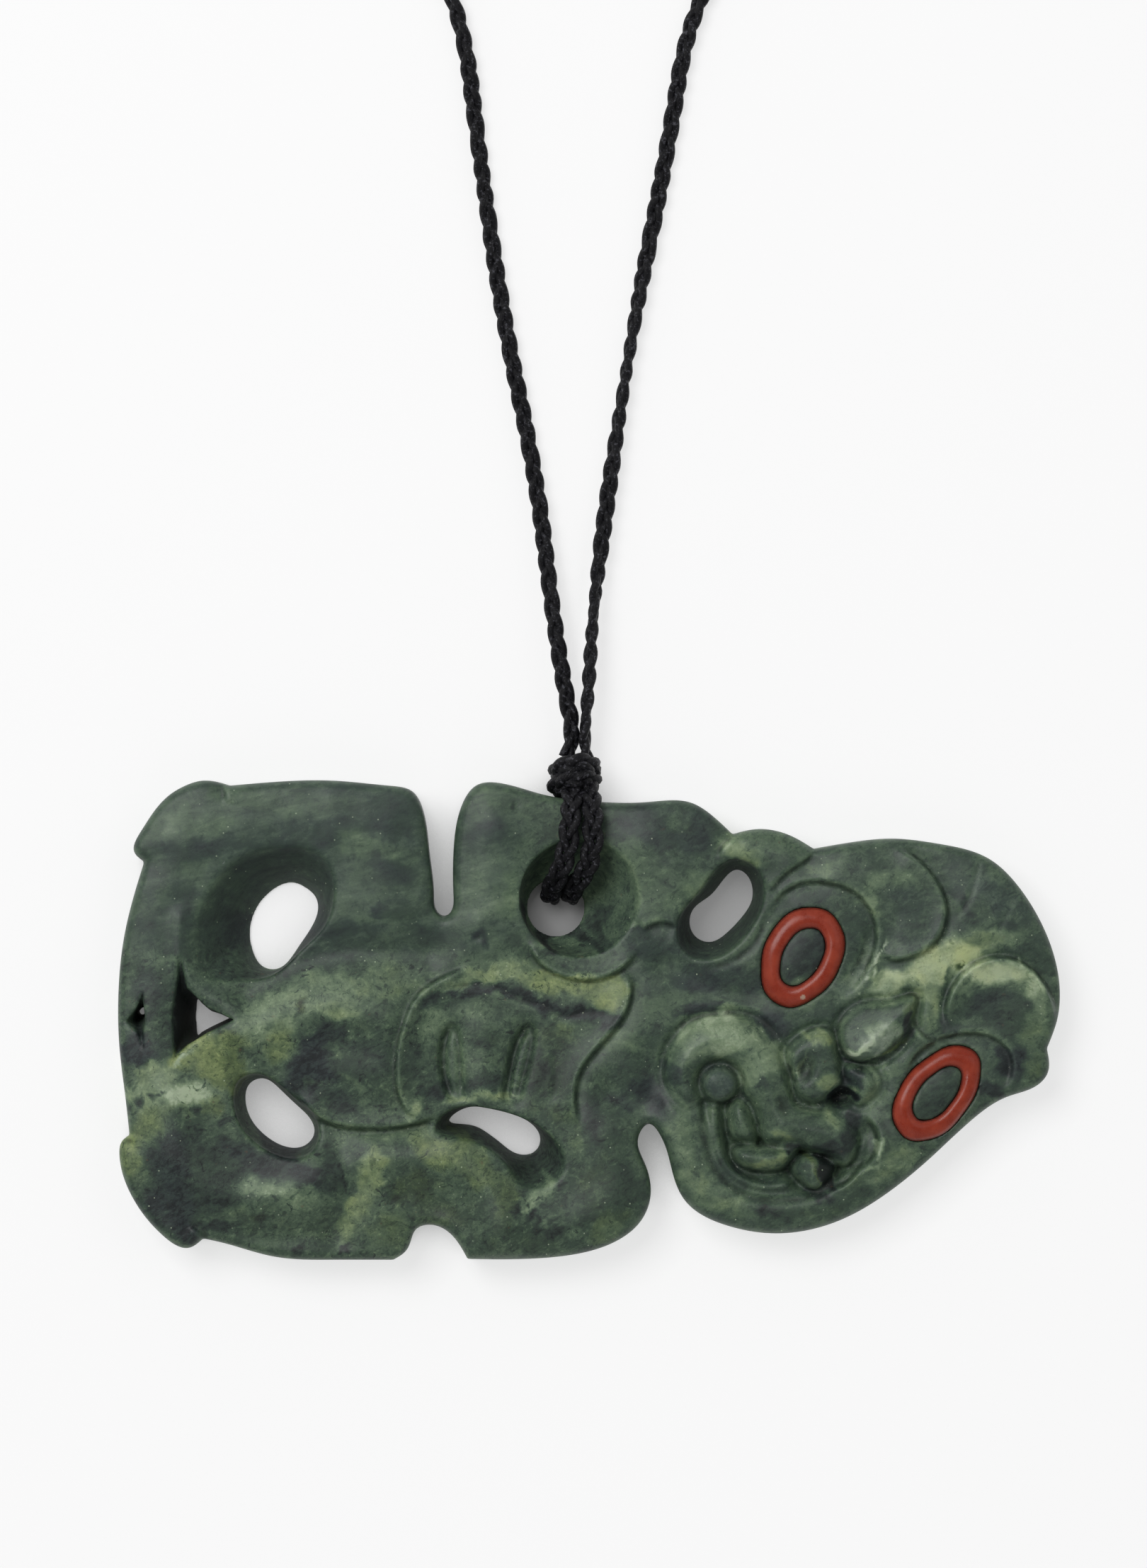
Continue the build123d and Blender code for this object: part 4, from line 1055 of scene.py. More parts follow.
def cutHangingHole(field, front, z):
    # the dish and the throat, then the channel behind
    x, y = front["x"], front["y"]
    throatX, throatY, throatRadius = hanging["throat"]
    dishX, dishY, dishRadius = hanging["dish"]
    rise = (z - hanging["throatTop"]) / (stoneSizes["ground"] - hanging["throatTop"])
    rise = np.clip(rise, 0, flareEnds["dish"])
    narrow = np.clip(1 - z / hanging["throatTop"], 0, None)
    radius = throatRadius + (dishRadius - throatRadius) * rise ** hanging["opens"] + hanging["flare"] * narrow
    middleX = throatX + (dishX - throatX) * rise ** hanging["shifts"]
    middleY = throatY + (dishY - throatY) * rise ** hanging["shifts"]
    bowl = np.hypot(x[:, :, None] - middleX, y[:, :, None] - middleY) - radius
    field = roundJoin(field, -bowl, hanging["rounding"])
    fromRim = dishRadius - np.hypot(x - dishX, y - dishY)
    strengthen(front, "inside", ..., np.clip(rimFade["dish"] + fromRim / rimFade["width"], 0, 1))
    forward = (x - throatX) * onward.x + (y - throatY) * onward.y
    across = (x - throatX) * sideways.x + (y - throatY) * sideways.y
    channel = np.maximum(np.abs(across) - hanging["channelWide"] / 2,
                         np.maximum(-forward, forward - hanging["channelLong"]))
    return np.maximum(field, -np.maximum(channel[:, :, None], z - hanging["channelDeep"]))


def stoneField():
    # negative inside the stone, on a grid of cells; its first corner; and the layers of the carved front
    cell, margin = stoneSizes["cell"], stoneSizes["margin"]
    low, high = outlineLine.min(axis=0) - margin, outlineLine.max(axis=0) + margin
    gridX = np.arange(low[0], high[0], cell)
    gridY = np.arange(low[1], high[1], cell)
    gridZ = np.arange(-margin, stoneSizes["top"], cell)
    x, y = np.meshgrid(gridX, gridY, indexing="ij")
    front = stoneTop(x, y)
    front["inside"] = np.zeros(x.shape)  # 1 in an opening
    # the painted shade on an opening's wall
    front["dark"] = np.zeros(x.shape)  # how dark an opening's wall is
    z = gridZ[None, None, :]
    sides = loopDistance(outlineLine, x, y)[:, :, None]
    field = roundJoin(z - front["top"][:, :, None], sides, stoneSizes["edge"])
    field = roundJoin(field, -z + np.zeros_like(field), stoneSizes["backEdge"])
    cutOpenings(field, front, z)
    field = cutHangingHole(field, front, z)
    for ring in rings.values():
        outer = loopDistance(ringEdge(ring, "outside", ringSizes["gap"]), x, y)
        inner = loopDistance(ringEdge(ring, "inside", -ringSizes["gap"]), x, y)
        bed = np.maximum(np.maximum(outer, -inner)[:, :, None], ringSizes["bed"] - z)
        field = np.maximum(field, -bed)
    return field.astype(np.float32), (gridX[0], gridY[0], gridZ[0]), front


stretches = list(outline.values())
outlineLine = np.vstack([splineThrough(stretch + following[:1])[:-1]
                         for stretch, following in zip(stretches, stretches[1:] + stretches[:1])])
print("outline read at", len(outlineLine), "places")
field, corner, carved = stoneField()
grid = openvdb.FloatGrid(1.0)
grid.copyFromArray(field)
stonePoints, stoneQuads = grid.convertToQuads()
stonePoints = stonePoints * stoneSizes["cell"] + np.array(corner)
print("stone has", len(stoneQuads), "quads before it is thinned")


# the stone's colour

# Painted one over another: along, across, half length, half width, turn in degrees, then how light (1) or
# dark (-1) and how yellow (1) or grey-blue (-1) the stone is there.
# Most rows are the stone's own colour; the rows marked below hold painted highlights, painted shadows and
# painted light.
patches = [
    (-34, 22, 14, 6, 0, -0.05, -0.25), (-46, 24, 6, 3, 35, 0.05, -0.2), (-26, 24, 6, 3, 0, -0.2, -0.35),
    (-36, 25.6, 9, 1.4, -3, 0.12, -0.1), (-46, 20.5, 4, 1.5, 25, -0.35, -0.35),
    (-31, 21.6, 5, 1.8, 10, -0.3, -0.35), (-49, 22.8, 2.6, 1.1, 42, 0.3, -0.05),
    (-43.5, 22.8, 3.5, 1.0, 12, 0.15, -0.15), (-26, 20.3, 3.4, 1.0, -15, 0.22, 0.05),
    (-23, 17.5, 3, 1.3, -25, -0.3, -0.35), (-26.5, 14.5, 2.6, 2.2, 20, 0.1, -0.1),
    (-22, 12.6, 2.6, 1.6, -30, -0.15, -0.1), (-25, 12.9, 0.9, 0.5, 20, -0.6, -0.5),
    (-27.5, 16.5, 0.9, 2.2, 0, 0.1, -0.2), (-50, 12, 2.6, 7, 5, -0.1, -0.2),
    (-49.6, 7.6, 1.9, 0.9, -28, 0.3, -0.15), (-47.2, 12.5, 1.0, 2.6, 0, -0.35, -0.3),
    (-51.5, 3, 1.6, 3, 0, -0.3, -0.35), (-53.6, -1.2, 1.3, 1.2, 30, 0.25, -0.45),
    (-52.3, -3.6, 2.2, 1.8, -30, -0.75, -0.9), (-49.6, 0, 1.0, 4.5, 0, -0.25, -0.25),
    (-44.5, 4.6, 2.4, 1.2, -20, 0.0, -0.2), (-38, 8.5, 5, 2, -30, -0.3, -0.3),
    (-30, 8.5, 6, 2.4, 5, -0.2, -0.35), (-22, 8.6, 4, 1.6, 0, -0.05, -0.15),
    # The second row here and the first rows of the next three lines, pale along the torso's ridge, are partly
    # pale stone and partly a painted highlight.
    (-18.5, 9.8, 1.6, 1.5, 0, -0.3, -0.2), (-36.6, 0.8, 4.4, 2.2, 28, 0.48, 0.15),
    (-31, 3.6, 5, 2.0, 12, 0.4, 0.12), (-24, 4.6, 4, 2.0, -6, 0.25, 0.3),
    (-38.2, 1.9, 2.0, 1.0, 30, 0.5, 0.0), (-34.3, 1.6, 1.1, 0.6, 60, -0.15, 0.1),
    (-29.5, 1.9, 3, 0.7, 10, 0.5, 0.3), (-30.5, -1.0, 3.6, 1.0, 18, -0.75, -0.75),
    (-26.5, 0.4, 3, 1.1, 10, 0.05, 0.1), (-31.6, -4.6, 3.6, 2.6, -30, -0.8, -0.95),
    (-26.6, -4.6, 4.4, 2.8, -20, -0.25, -0.2), (-33.6, -7.6, 2.4, 1.6, -45, -0.8, -0.7),
    (-24.6, -8.6, 3.2, 2.6, 0, -0.02, 0.15), (-29.2, -9.6, 2.4, 1.3, -30, -0.45, -0.3),
    (-36.5, -2.4, 1.8, 2.2, 20, 0.3, 0.55), (-43.5, -5, 4.4, 2.6, -38, 0.42, 1.0),
    (-46.8, -3.2, 2.6, 1.1, 28, 0.6, 0.85), (-41.6, -2.6, 2.0, 1.8, 0, 0.35, 0.75),
    (-40.9, -6.8, 1.3, 2.6, 0, 0.1, 0.95), (-44.3, -10.0, 1.6, 1.4, 0, 0.2, 0.6),
    (-50.2, -6.4, 2.6, 1.6, 20, 0.5, 0.35), (-47.8, -8.8, 3.2, 1.5, 4, 1.0, -0.1),
    (-52, -9.0, 1.9, 1.6, 0, 0.6, 0.25), (-49.8, -11.4, 3, 1.2, 8, 0.3, 0.5),
    (-53.4, -15.8, 1.5, 2.8, 0, 0.35, 0.75), (-51.6, -12.8, 1.6, 1.4, 0, 0.3, 0.6),
    (-52.4, -19.4, 1.4, 2.0, 30, 0.0, 0.2), (-46.6, -12.8, 3, 1.2, -25, -0.25, -0.1),
    (-48.6, -16, 3.2, 2.6, 30, -0.65, -0.6), (-44, -16.2, 3.6, 2.2, -20, -0.35, -0.1),
    (-49.2, -21.4, 3.2, 2.8, -40, -0.7, -0.7), (-47, -24.6, 2.4, 1.2, -35, -0.8, -0.7),
    (-44, -20.6, 3, 1.8, -20, -0.55, -0.3), (-38.6, -16.4, 4.6, 1.5, -18, -0.75, -0.55),
    (-34, -17.8, 3, 1.2, -8, -0.75, -0.6), (-43.0, -12.0, 0.9, 0.45, 10, -0.9, -0.5),
    # The first row, a pale crescent under the leg's opening, is partly pale stone and partly a painted
    # highlight.
    (-37.4, -19.8, 4.0, 1.0, -14, 0.62, -0.15), (-33.2, -20.6, 3.0, 1.3, 12, 0.3, 0.0),
    (-37.4, -23.4, 5.6, 2.0, -8, 0.02, 0.1), (-38.6, -22.9, 0.8, 0.45, 20, -0.45, 0.5),
    (-43.2, -24.4, 2.2, 0.8, -10, -0.6, -0.4), (-30.6, -24.6, 2.6, 2.2, 0, -0.05, 0.15),
    (-26.4, -13.8, 4.6, 0.9, 0, 0.22, -0.1), (-20, -13.2, 3, 0.8, 5, 0.3, 0.25),
    (-25.4, -17.6, 1.5, 3.0, -25, 0.5, 0.6), (-27.4, -22.6, 1.3, 4.2, -16, 0.4, 0.55),
    (-30.4, -17.4, 1.4, 2.4, -10, -0.4, -0.3), (-17, -15.2, 4.4, 1.7, -14, 0.36, 0.7),
    (-20.6, -19.6, 3.6, 2.4, 10, -0.12, 0.5), (-13.2, -17.6, 3.4, 1.8, -48, 0.2, 0.6),
    (-17.6, -22.8, 4, 1.8, 10, -0.05, 0.4), (-23.8, -25, 2.6, 2.2, 0, 0.15, 0.4),
    (-23.1, -20.9, 0.55, 0.4, 0, -0.7, 0.5), (-10.6, -21.4, 1.6, 4, -10, 0.05, 0.45),
    # The first row is a painted highlight on the lower edge of the arm's opening.
    (-5.6, -20.7, 2.4, 0.8, 32, 0.55, 0.0), (-8, -25.4, 4.5, 1.6, -8, -0.15, 0.2),
    (-4.0, -24.6, 1.0, 1.0, 0, -0.75, -0.1), (-6.8, -22.6, 1.2, 0.35, 40, -0.85, -0.2),
    (-9.0, -21.6, 1.2, 0.3, 15, -0.85, -0.2), (-13, 20, 2.6, 4, 0, -0.05, -0.1),
    (-12, 21.6, 2.4, 1.5, 0, -0.4, -0.5), (-10, 25.2, 3.6, 1.2, -5, 0.08, 0.15),
    (-8.2, 25.0, 0.5, 0.5, 0, -0.5, 0.2), (-12.2, 16, 2.8, 5, 5, 0.2, -0.1),
    (-9.2, 14.4, 0.8, 3, 0, 0.25, 0.35), (-12, 10.2, 3.4, 1.5, 10, 0.02, -0.2),
    (-13, 9.7, 0.6, 0.5, 0, -0.6, -0.4), (-8, 9.5, 2, 1.2, -30, -0.1, 0.1),
    (-10.4, 5.9, 3.8, 1.1, 4, 0.5, 0.5), (-3.4, 4.2, 5, 1.6, -7, 0.5, 0.72),
    (2.6, 3.5, 2.2, 1.9, 0, 0.5, 0.9), (-15.2, 4.6, 2.4, 0.8, 25, 0.3, 0.3),
    (-13.4, 3.7, 3.4, 0.65, 8, -0.8, -0.6), (-8.4, 3.0, 2.6, 0.7, -28, -0.85, -0.6),
    (-5, 1.3, 1.8, 0.9, -20, -0.95, -0.6), (-1.2, 1.0, 2.6, 0.75, 4, -0.95, -0.6),
    (2.4, 0.2, 1.6, 0.8, -20, -0.75, -0.5), (-18.8, 2.3, 1.5, 0.8, 40, -0.5, -0.4),
    (-18.2, -0.2, 2.2, 1.7, 60, 0.3, -0.05), (-13.6, 0.8, 3, 1.0, -5, 0.2, -0.1),
    (-20.8, -4.2, 1.0, 2.6, 0, -0.25, -0.2), (-12.6, -2.6, 3.6, 0.7, 4, -0.25, 0.1),
    (-12.6, -5.2, 2.8, 1.3, 0, 0.12, 0.15), (-11.6, -7.7, 3.0, 0.7, 6, -0.5, -0.3),
    (-17.8, -8.6, 2.2, 1.1, 10, -0.55, -0.4), (-20.2, -10.0, 1.6, 0.9, 30, 0.55, 0.4),
    (-12, -9.5, 4.4, 0.55, 4, 0.5, 0.45), (-16.2, -3, 0.6, 2.0, 0, 0.1, -0.1),
    (-8.6, -5.0, 0.8, 3, 10, -0.1, 0.1), (-4.2, -2.6, 3.0, 1.6, -20, -0.15, 0.3),
    (-2.6, -1.6, 1.6, 0.6, -50, 0.2, 0.4), (-5.0, -6.5, 2.2, 2.4, 0, -0.4, 0.2),
    (-5.0, -10.6, 2.4, 1.0, -25, 0.0, 0.3), (-2.4, -13, 0.8, 2.6, 10, 0.15, 0.35),
    (0.0, -6.4, 1.5, 2.4, 0, 0.05, -0.05), (-0.2, -11.0, 1.2, 3.0, 8, -0.45, -0.2),
    (0.2, -13.6, 0.5, 1.6, 10, -0.9, -0.3), (2.6, -14.4, 2.4, 3.2, 0, -0.1, 0.1),
    (0.6, -19.5, 2.2, 3.0, 0, -0.15, 0.3), (4.2, -19.5, 2, 3, 0, -0.25, 0.1),
    (2.6, -23.8, 3.4, 1.3, 22, 0.1, 0.45), (-1.0, -22.8, 1.6, 1.0, 20, -0.35, 0.0),
    (-1.2, 12.4, 6, 5, 0, 0.12, 0.0), (1.8, 16, 3, 4, 0, 0.15, 0.0), (-1.6, 5.8, 4.4, 0.8, 0, 0.0, -0.1),
    (7.4, 22.4, 4.4, 2.4, 0, -0.35, -0.4), (12.6, 21.6, 2.2, 3.0, 0, -0.42, -0.5),
    (4.6, 20.4, 3, 1.1, -18, 0.12, 0.15), (9.4, 18.4, 3.4, 1.4, 10, -0.05, -0.05),
    (8, 14.8, 3.6, 2.6, -10, 0.12, 0.05), (12, 15.6, 1.6, 1.3, 0, 0.3, 0.3),
    (5.9, 17, 1.0, 2.4, 0, 0.15, 0.15), (8.4, 12.2, 2.6, 0.8, 0, 0.18, 0.05),
    (10.6, 23.4, 1.4, 0.9, -20, 0.0, 0.1), (17.6, 19.4, 2.0, 1.3, -35, 0.5, 0.5),
    (21.4, 20.6, 3.2, 1.1, -3, 0.12, 0.2), (22.4, 17.8, 2.6, 1.4, 20, -0.12, 0.0),
    (17.8, 21.6, 1.4, 0.7, 0, 0.2, 0.45), (20.4, 12.8, 1.0, 2.4, 0, -0.1, 0.1),
    (12.6, 10, 2.2, 3, 0, -0.35, -0.1), (5.9, 10.3, 0.9, 0.6, 0, -0.85, -0.7),
    (8, 9.2, 4.4, 1.8, 12, -0.2, -0.35), (13.6, 4.4, 4.4, 1.8, -6, -0.42, -0.55),
    (18.6, 5.2, 2.6, 2.2, 0, -0.3, -0.35), (7.6, 5.4, 4, 2, 0, 0.0, -0.2),
    (19.8, 2.0, 3, 1.2, -12, -0.05, -0.05), (12.6, 1.6, 3.4, 0.8, 8, 0.1, -0.1),
    (8, 1.0, 4, 1.4, 10, 0.14, 0.1), (4.0, -3.0, 2.6, 1.6, -60, 0.3, 0.25),
    (25.8, 13.2, 3.6, 1.6, 0, -0.2, -0.2), (31.2, 10.6, 1.6, 3.0, -20, -0.2, -0.2),
    (25, 7.6, 2.4, 3.6, -31, -0.6, -0.3), (24, 4.4, 1.3, 0.7, 0, 0.1, 0.25),
    (30.8, 4.6, 1.4, 2.6, -38, 0.4, -0.3), (32.6, 7.4, 0.8, 1.6, -20, 0.15, -0.2),
    (27.6, 1.2, 2.2, 0.9, -10, -0.1, -0.1), (25.6, 2.4, 1.4, 0.8, 0, 0.25, 0.4),
    (29.6, 18.8, 4.4, 1.3, 6, 0.0, -0.05), (27.2, 18, 1.8, 0.9, 10, 0.3, 0.35),
    (33.2, 16.8, 1.6, 1.0, 30, 0.3, 0.2), (36.4, 16.9, 1.4, 1.0, 20, 0.28, 0.3),
    (35, 19, 3.4, 1.2, -5, -0.1, -0.1), (37.4, 12.0, 3.0, 3.2, 0, -0.1, -0.3),
    (34.8, 12.4, 1.4, 2.2, 20, -0.05, -0.1), (32.6, 13.8, 0.9, 1.8, 40, 0.12, 0.3),
    (44.5, 16.4, 4.4, 2.2, -42, -0.08, -0.3), (48.4, 13.2, 4.4, 2.4, -48, -0.1, -0.4),
    (52.2, 8.2, 1.4, 4.4, 22, -0.15, -0.15), (40.4, 20.0, 4.4, 0.7, -8, 0.12, -0.05),
    (47.0, 17.2, 3.0, 0.6, -38, 0.12, -0.1), (45.2, 12.8, 2.2, 1.2, -60, 0.0, -0.1),
    (43.6, 8.2, 3.8, 2.2, 22, 0.95, 0.75), (39.6, 6.0, 3.2, 2.3, 22, 0.92, 0.65),
    (35.2, 4.2, 2.8, 1.6, 24, 0.78, 0.5), (39.4, 1.6, 1.6, 2.8, 0, 0.6, 0.5),
    (48.4, 10.0, 2.6, 1.0, 10, 0.35, 0.2), (45.6, 9.6, 2.4, 0.9, -16, 0.4, 0.5),
    (43.2, 8.0, 1.4, 1.0, 0, 1.0, 0.8), (41.9, 5.0, 0.4, 1.2, 0, 0.1, 0.3),
    (38.6, 0.2, 1.3, 1.7, 0, 0.25, 0.2), (43.3, 6.2, 0.4, 0.35, 20, -0.8, 1.0),
    (36.6, 5.2, 1.6, 0.8, 16, 0.9, 0.5), (33.2, 4.6, 1.2, 0.8, 0, 0.5, 0.4),
    (41.6, -0.8, 1.2, 1.0, 0, -0.4, -0.3), (33, -1.4, 2.8, 1.7, 42, 0.6, -0.6),
    (31.4, -2.6, 0.9, 1.2, 0, 0.1, -0.4), (35.6, -1.6, 2.6, 0.9, 48, -0.35, 0.6),
    (37.4, 1.4, 1.0, 1.2, 30, 0.2, 0.7), (36.9, -0.4, 0.8, 1.4, -20, -0.85, 0.0),
    (46.8, 5.7, 4.0, 1.3, 6, 1.0, 0.5), (51.8, 4.0, 1.3, 1.8, 30, 0.8, 0.3),
    (43.6, 4.2, 1.0, 1.6, -40, 0.3, 0.1), (53.0, 0.6, 0.9, 2.6, 5, 0.4, 0.3),
    (47.6, 1.4, 3.2, 2.2, -10, -0.35, -0.3), (49.8, 0.6, 1.8, 1.8, 0, -0.2, 0.0),
    (47, -0.6, 2.6, 0.9, 0, -0.25, -0.1), (49.4, -4.6, 2.2, 1.8, 0, -0.8, -0.6),
    (52.2, -5.0, 1.2, 2.0, 0, 0.1, 0.55), (51.8, -1.6, 1.8, 1.6, 0, 0.2, 0.4),
    (46.2, -4.0, 1.2, 1.8, 20, 0.05, -0.1), (47, -8.2, 3.0, 1.0, -24, -0.6, -0.4),
    (40.8, -8.2, 2.2, 3.6, -40, -0.35, -0.1), (15.2, -1.6, 4.8, 1.9, 2, 0.68, 0.1),
    (20.0, -4.4, 2.2, 3.0, -40, 0.5, 0.15), (21.4, -8.6, 1.6, 3.2, 0, 0.05, 0.1),
    (12.0, -2.4, 1.8, 1.2, 45, 0.4, -0.2), (10.0, -4.2, 1.0, 1.4, 0, 0.2, 0.0),
    (19.6, -6.6, 0.7, 0.5, 0, -0.4, -0.3), (13.2, 0.9, 3.0, 0.5, 8, -0.75, -0.6),
    (21.6, -0.6, 1.9, 1.3, -30, -0.7, -0.7), (16.6, 0.8, 1.8, 0.5, 0, 0.25, 0.3),
    (7.4, -8.6, 3.2, 1.5, -30, -0.7, -0.6), (5.2, -5.4, 2.2, 1.4, -20, -0.25, -0.15),
    (9.4, -6.2, 1.2, 1.0, 0, -0.4, -0.4), (4.0, -9.6, 2.2, 1.4, -10, -0.35, -0.3),
    (10.9, -13.4, 1.4, 4.2, 8, 0.3, 0.25), (12.4, -18.4, 2.2, 1.5, -50, 0.38, 0.45),
    (16.4, -21.6, 3.2, 1.3, -22, 0.25, 0.35), (12.8, -18.1, 0.35, 0.3, 0, -0.95, 0.0),
    (20.1, -22.2, 1.0, 0.9, 20, -0.95, -0.2), (22.6, -23.2, 2.6, 1.0, 5, -0.3, 0.1),
    (27.4, -22.4, 3.2, 1.2, 15, -0.1, 0.3), (31.2, -20.4, 2.2, 1.0, 35, -0.25, 0.2),
    (16.6, -18.2, 2.2, 0.9, -40, -0.35, -0.1), (22, -20.1, 3.2, 0.5, 0, -0.1, 0.0),
    (33.4, -13.6, 1.6, 3.0, -20, -0.05, 0.2), (32.6, -8.4, 1.8, 2.2, 0, 0.3, 0.25),
    (35.4, -16.4, 3.2, 1.7, 42, 0.3, 0.4), (37.2, -13.0, 1.8, 1.2, 42, -0.05, 0.2),
    (34.4, -6.0, 2.2, 1.0, 35, 0.25, 0.2), (30.6, -18.2, 1.6, 1.2, 20, 0.0, 0.3),
    (21.0, -16.3, 3.2, 0.9, 0, 0.42, 0.6), (19.0, -15.6, 1.2, 0.6, 20, 0.0, 0.1),
    (22.0, -13.4, 1.8, 0.6, -12, 0.4, 0.6), (25.4, -12.4, 3.0, 1.1, -8, -0.05, 0.1),
    (27.6, -14.6, 2.6, 1.1, -12, -0.65, -0.3), (30.6, -12.6, 1.0, 2.0, -20, -0.8, -0.3),
    (24.2, -15.4, 0.9, 0.7, 0, -0.9, -0.2), (28.4, -11.2, 1.2, 0.6, 0, 0.45, 0.4),
    (26.8, -2.1, 2.0, 0.75, 0, 0.5, 0.6), (28.0, -7.0, 1.3, 1.2, 0, 0.5, 0.6),
    (24.4, -3.6, 0.9, 1.4, 0, 0.05, -0.2), (31.0, -7.0, 1.2, 1.0, 30, -0.55, -0.75),
    # The first row, dark and grey-blue in the nostril's pit, is painted shadow.
    (29.6, -9.2, 1.4, 0.6, 20, -0.5, -0.9), (25.0, -5.6, 1.1, 1.6, 0, -0.2, 0.0),
    (15.2, -7.4, 2.0, 2.0, 0, 0.0, -0.6), (18.0, -11.6, 1.1, 2.2, 15, 0.15, 0.0),
    (14.7, -12.4, 0.8, 2.6, 5, 0.15, 0.2), (24.9, -17.8, 0.9, 1.4, 0, -0.1, -0.2),
    (26.2, -17.6, 0.45, 1.6, 0, 0.1, 0.9), (27.4, -18.2, 0.9, 1.3, 0, -1.1, -0.2),
    (26.8, -20.6, 1.2, 0.6, 10, -0.8, -0.3), (-29.2, -3.0, 1.6, 0.6, -22, 0.2, 0.2),
    (-32.0, -7.4, 1.3, 0.5, 10, -0.1, 0.1), (-27.0, -7.0, 1.6, 0.5, -30, 0.2, 0.2),
    (-52.0, -9.8, 0.7, 0.22, 30, -0.8, -0.2), (-50.3, -9.0, 0.5, 0.2, 20, -0.7, -0.2),
    (-42.3, -11.9, 0.8, 0.3, -10, -0.9, -0.3), (-45.8, -10.3, 0.9, 0.25, 15, -0.6, -0.2),
    (-28.9, -17.6, 0.32, 2.4, 4, -0.8, -0.2), (-28.5, -26.8, 0.6, 0.3, 50, -0.8, 0.0),
    (-33.4, -27.0, 0.7, 0.3, 0, -0.8, -0.2), (-8.0, -21.8, 1.0, 0.22, 20, -0.8, -0.2),
    (-6.2, -24.2, 0.35, 1.0, -25, -0.8, 0.0), (31.3, -2.0, 1.7, 0.5, 48, 1.15, -0.1),
    (32.6, -0.2, 1.2, 0.8, 20, 0.75, -0.4), (36.7, 0.0, 0.5, 1.7, -24, -1.0, -0.2),
    (34.8, -2.9, 1.9, 0.5, 38, 0.0, 1.0), (33.2, -4.2, 1.6, 0.35, 22, -0.8, 0.2),
    # The first row darkens the nostril's pit further: painted shadow.
    (30.2, -9.2, 1.5, 0.85, 20, -2.0, -0.8), (30.9, -4.9, 1.2, 0.3, 10, -0.9, -0.2),
    (24.2, -5.0, 0.5, 1.6, -20, 0.5, 0.2), (33.3, 6.6, 1.8, 0.16, 66, 1.0, -0.3),
    (32.1, 4.4, 1.6, 0.15, 52, 1.0, -0.3), (34.1, 8.2, 0.9, 0.14, 80, 0.9, -0.3),
    (32.3, 14.3, 1.3, 0.7, 10, 0.35, 0.1), (37.4, 16.4, 1.4, 0.6, -10, 0.35, 0.1),
    # The second row, dark beside the tooth, is painted shade in the hollow there.
    (44.0, 13.5, 0.5, 2.2, 20, -0.4, -0.2), (27.5, -17.5, 1.0, 1.6, -10, -1.8, 0.1),
    (33.3, -15.0, 0.24, 1.5, 0, 0.6, -0.1), (32.3, -17.2, 1.2, 0.22, 46, 0.5, 0.0),
    (-2.2, 8.5, 3.4, 0.65, 2, -0.9, -0.1), (2.6, 10.2, 1.8, 0.6, 50, -0.5, -0.1),
    (-7.0, 11.4, 0.6, 2.4, 12, -0.6, 0.0), (-2.8, -20.2, 0.35, 0.45, 0, -0.8, 0.0),
    # The second row, a pale thin rim on the hip wedge's lower edge, is painted light shining through the thin
    # stone.
    (-34.2, 1.8, 0.35, 0.9, -15, -0.1, 1.0), (-47.6, -4.0, 1.1, 0.3, 38, 0.8, 0.1),
]
# The stone without patches, how much a light patch counts for, and how its border fades; how far and in
# what size of blotch the borders wander, and the seeds along and across.
patchLook = {"tone": 0.02, "warm": -0.1, "lighter": 1.25, "tight": 0.85, "fade": 2.8}
wandering = [(0.7, 3.4, 11, 13), (0.5, 1.3, 12, 14), (0.36, 0.6, 15, 16)]
# Below the front: how far the pattern slants there, how much an edge is lighter with wear and painted
# highlight, to what depth the painted shade of a cut reaches and over how much it fades, and from where a
# wall counts as deep and over how much.
stonePaint = {"slant": 0.35, "wearAndHighlight": 0.32, "shadeDepth": 1.2, "shadeFade": 0.6, "deepFrom": 0.3,
              "deepOver": 1.2}
# Where the stone is calm: the thigh and shoulder, from a place across and a place to the left, each with how
# far it takes; and the head by a share, from a place along.
calmPlaces = {"across": (6, 4), "left": (5, 5), "head": (-2, 8), "headShare": 0.55}
stoneLayers = ("tone", "warm", "cavity", "deep", "calm")  # what the stone's colour reads at each vertex


def paintedTone(x, y):
    # the patches over a mid green, with wandering borders
    u, v = x, y
    for far, size, seedX, seedY in wandering:
        u = u + far * blotches(x, y, size, seedX)
        v = v + far * blotches(x, y, size, seedY)
    tone = np.full(x.shape, patchLook["tone"])
    warm = np.full(x.shape, patchLook["warm"])
    for *oval, light, yellow in patches:
        cover = ovalCover(u, v, oval, patchLook["tight"], patchLook["fade"])
        tone += (light * (patchLook["lighter"] if light > 0 else 1.0) - tone) * cover
        warm += (yellow - warm) * cover
    return tone, warm


def readFront(layer, x, y):
    # a value of the carved front at any place
    values, cell = carved[layer], stoneSizes["cell"]
    u = np.clip((x - carved["x"][0, 0]) / cell, 0, values.shape[0] - 1.001)
    v = np.clip((y - carved["y"][0, 0]) / cell, 0, values.shape[1] - 1.001)
    i, j = u.astype(int), v.astype(int)
    return between(values, i, j, u - i, v - j)


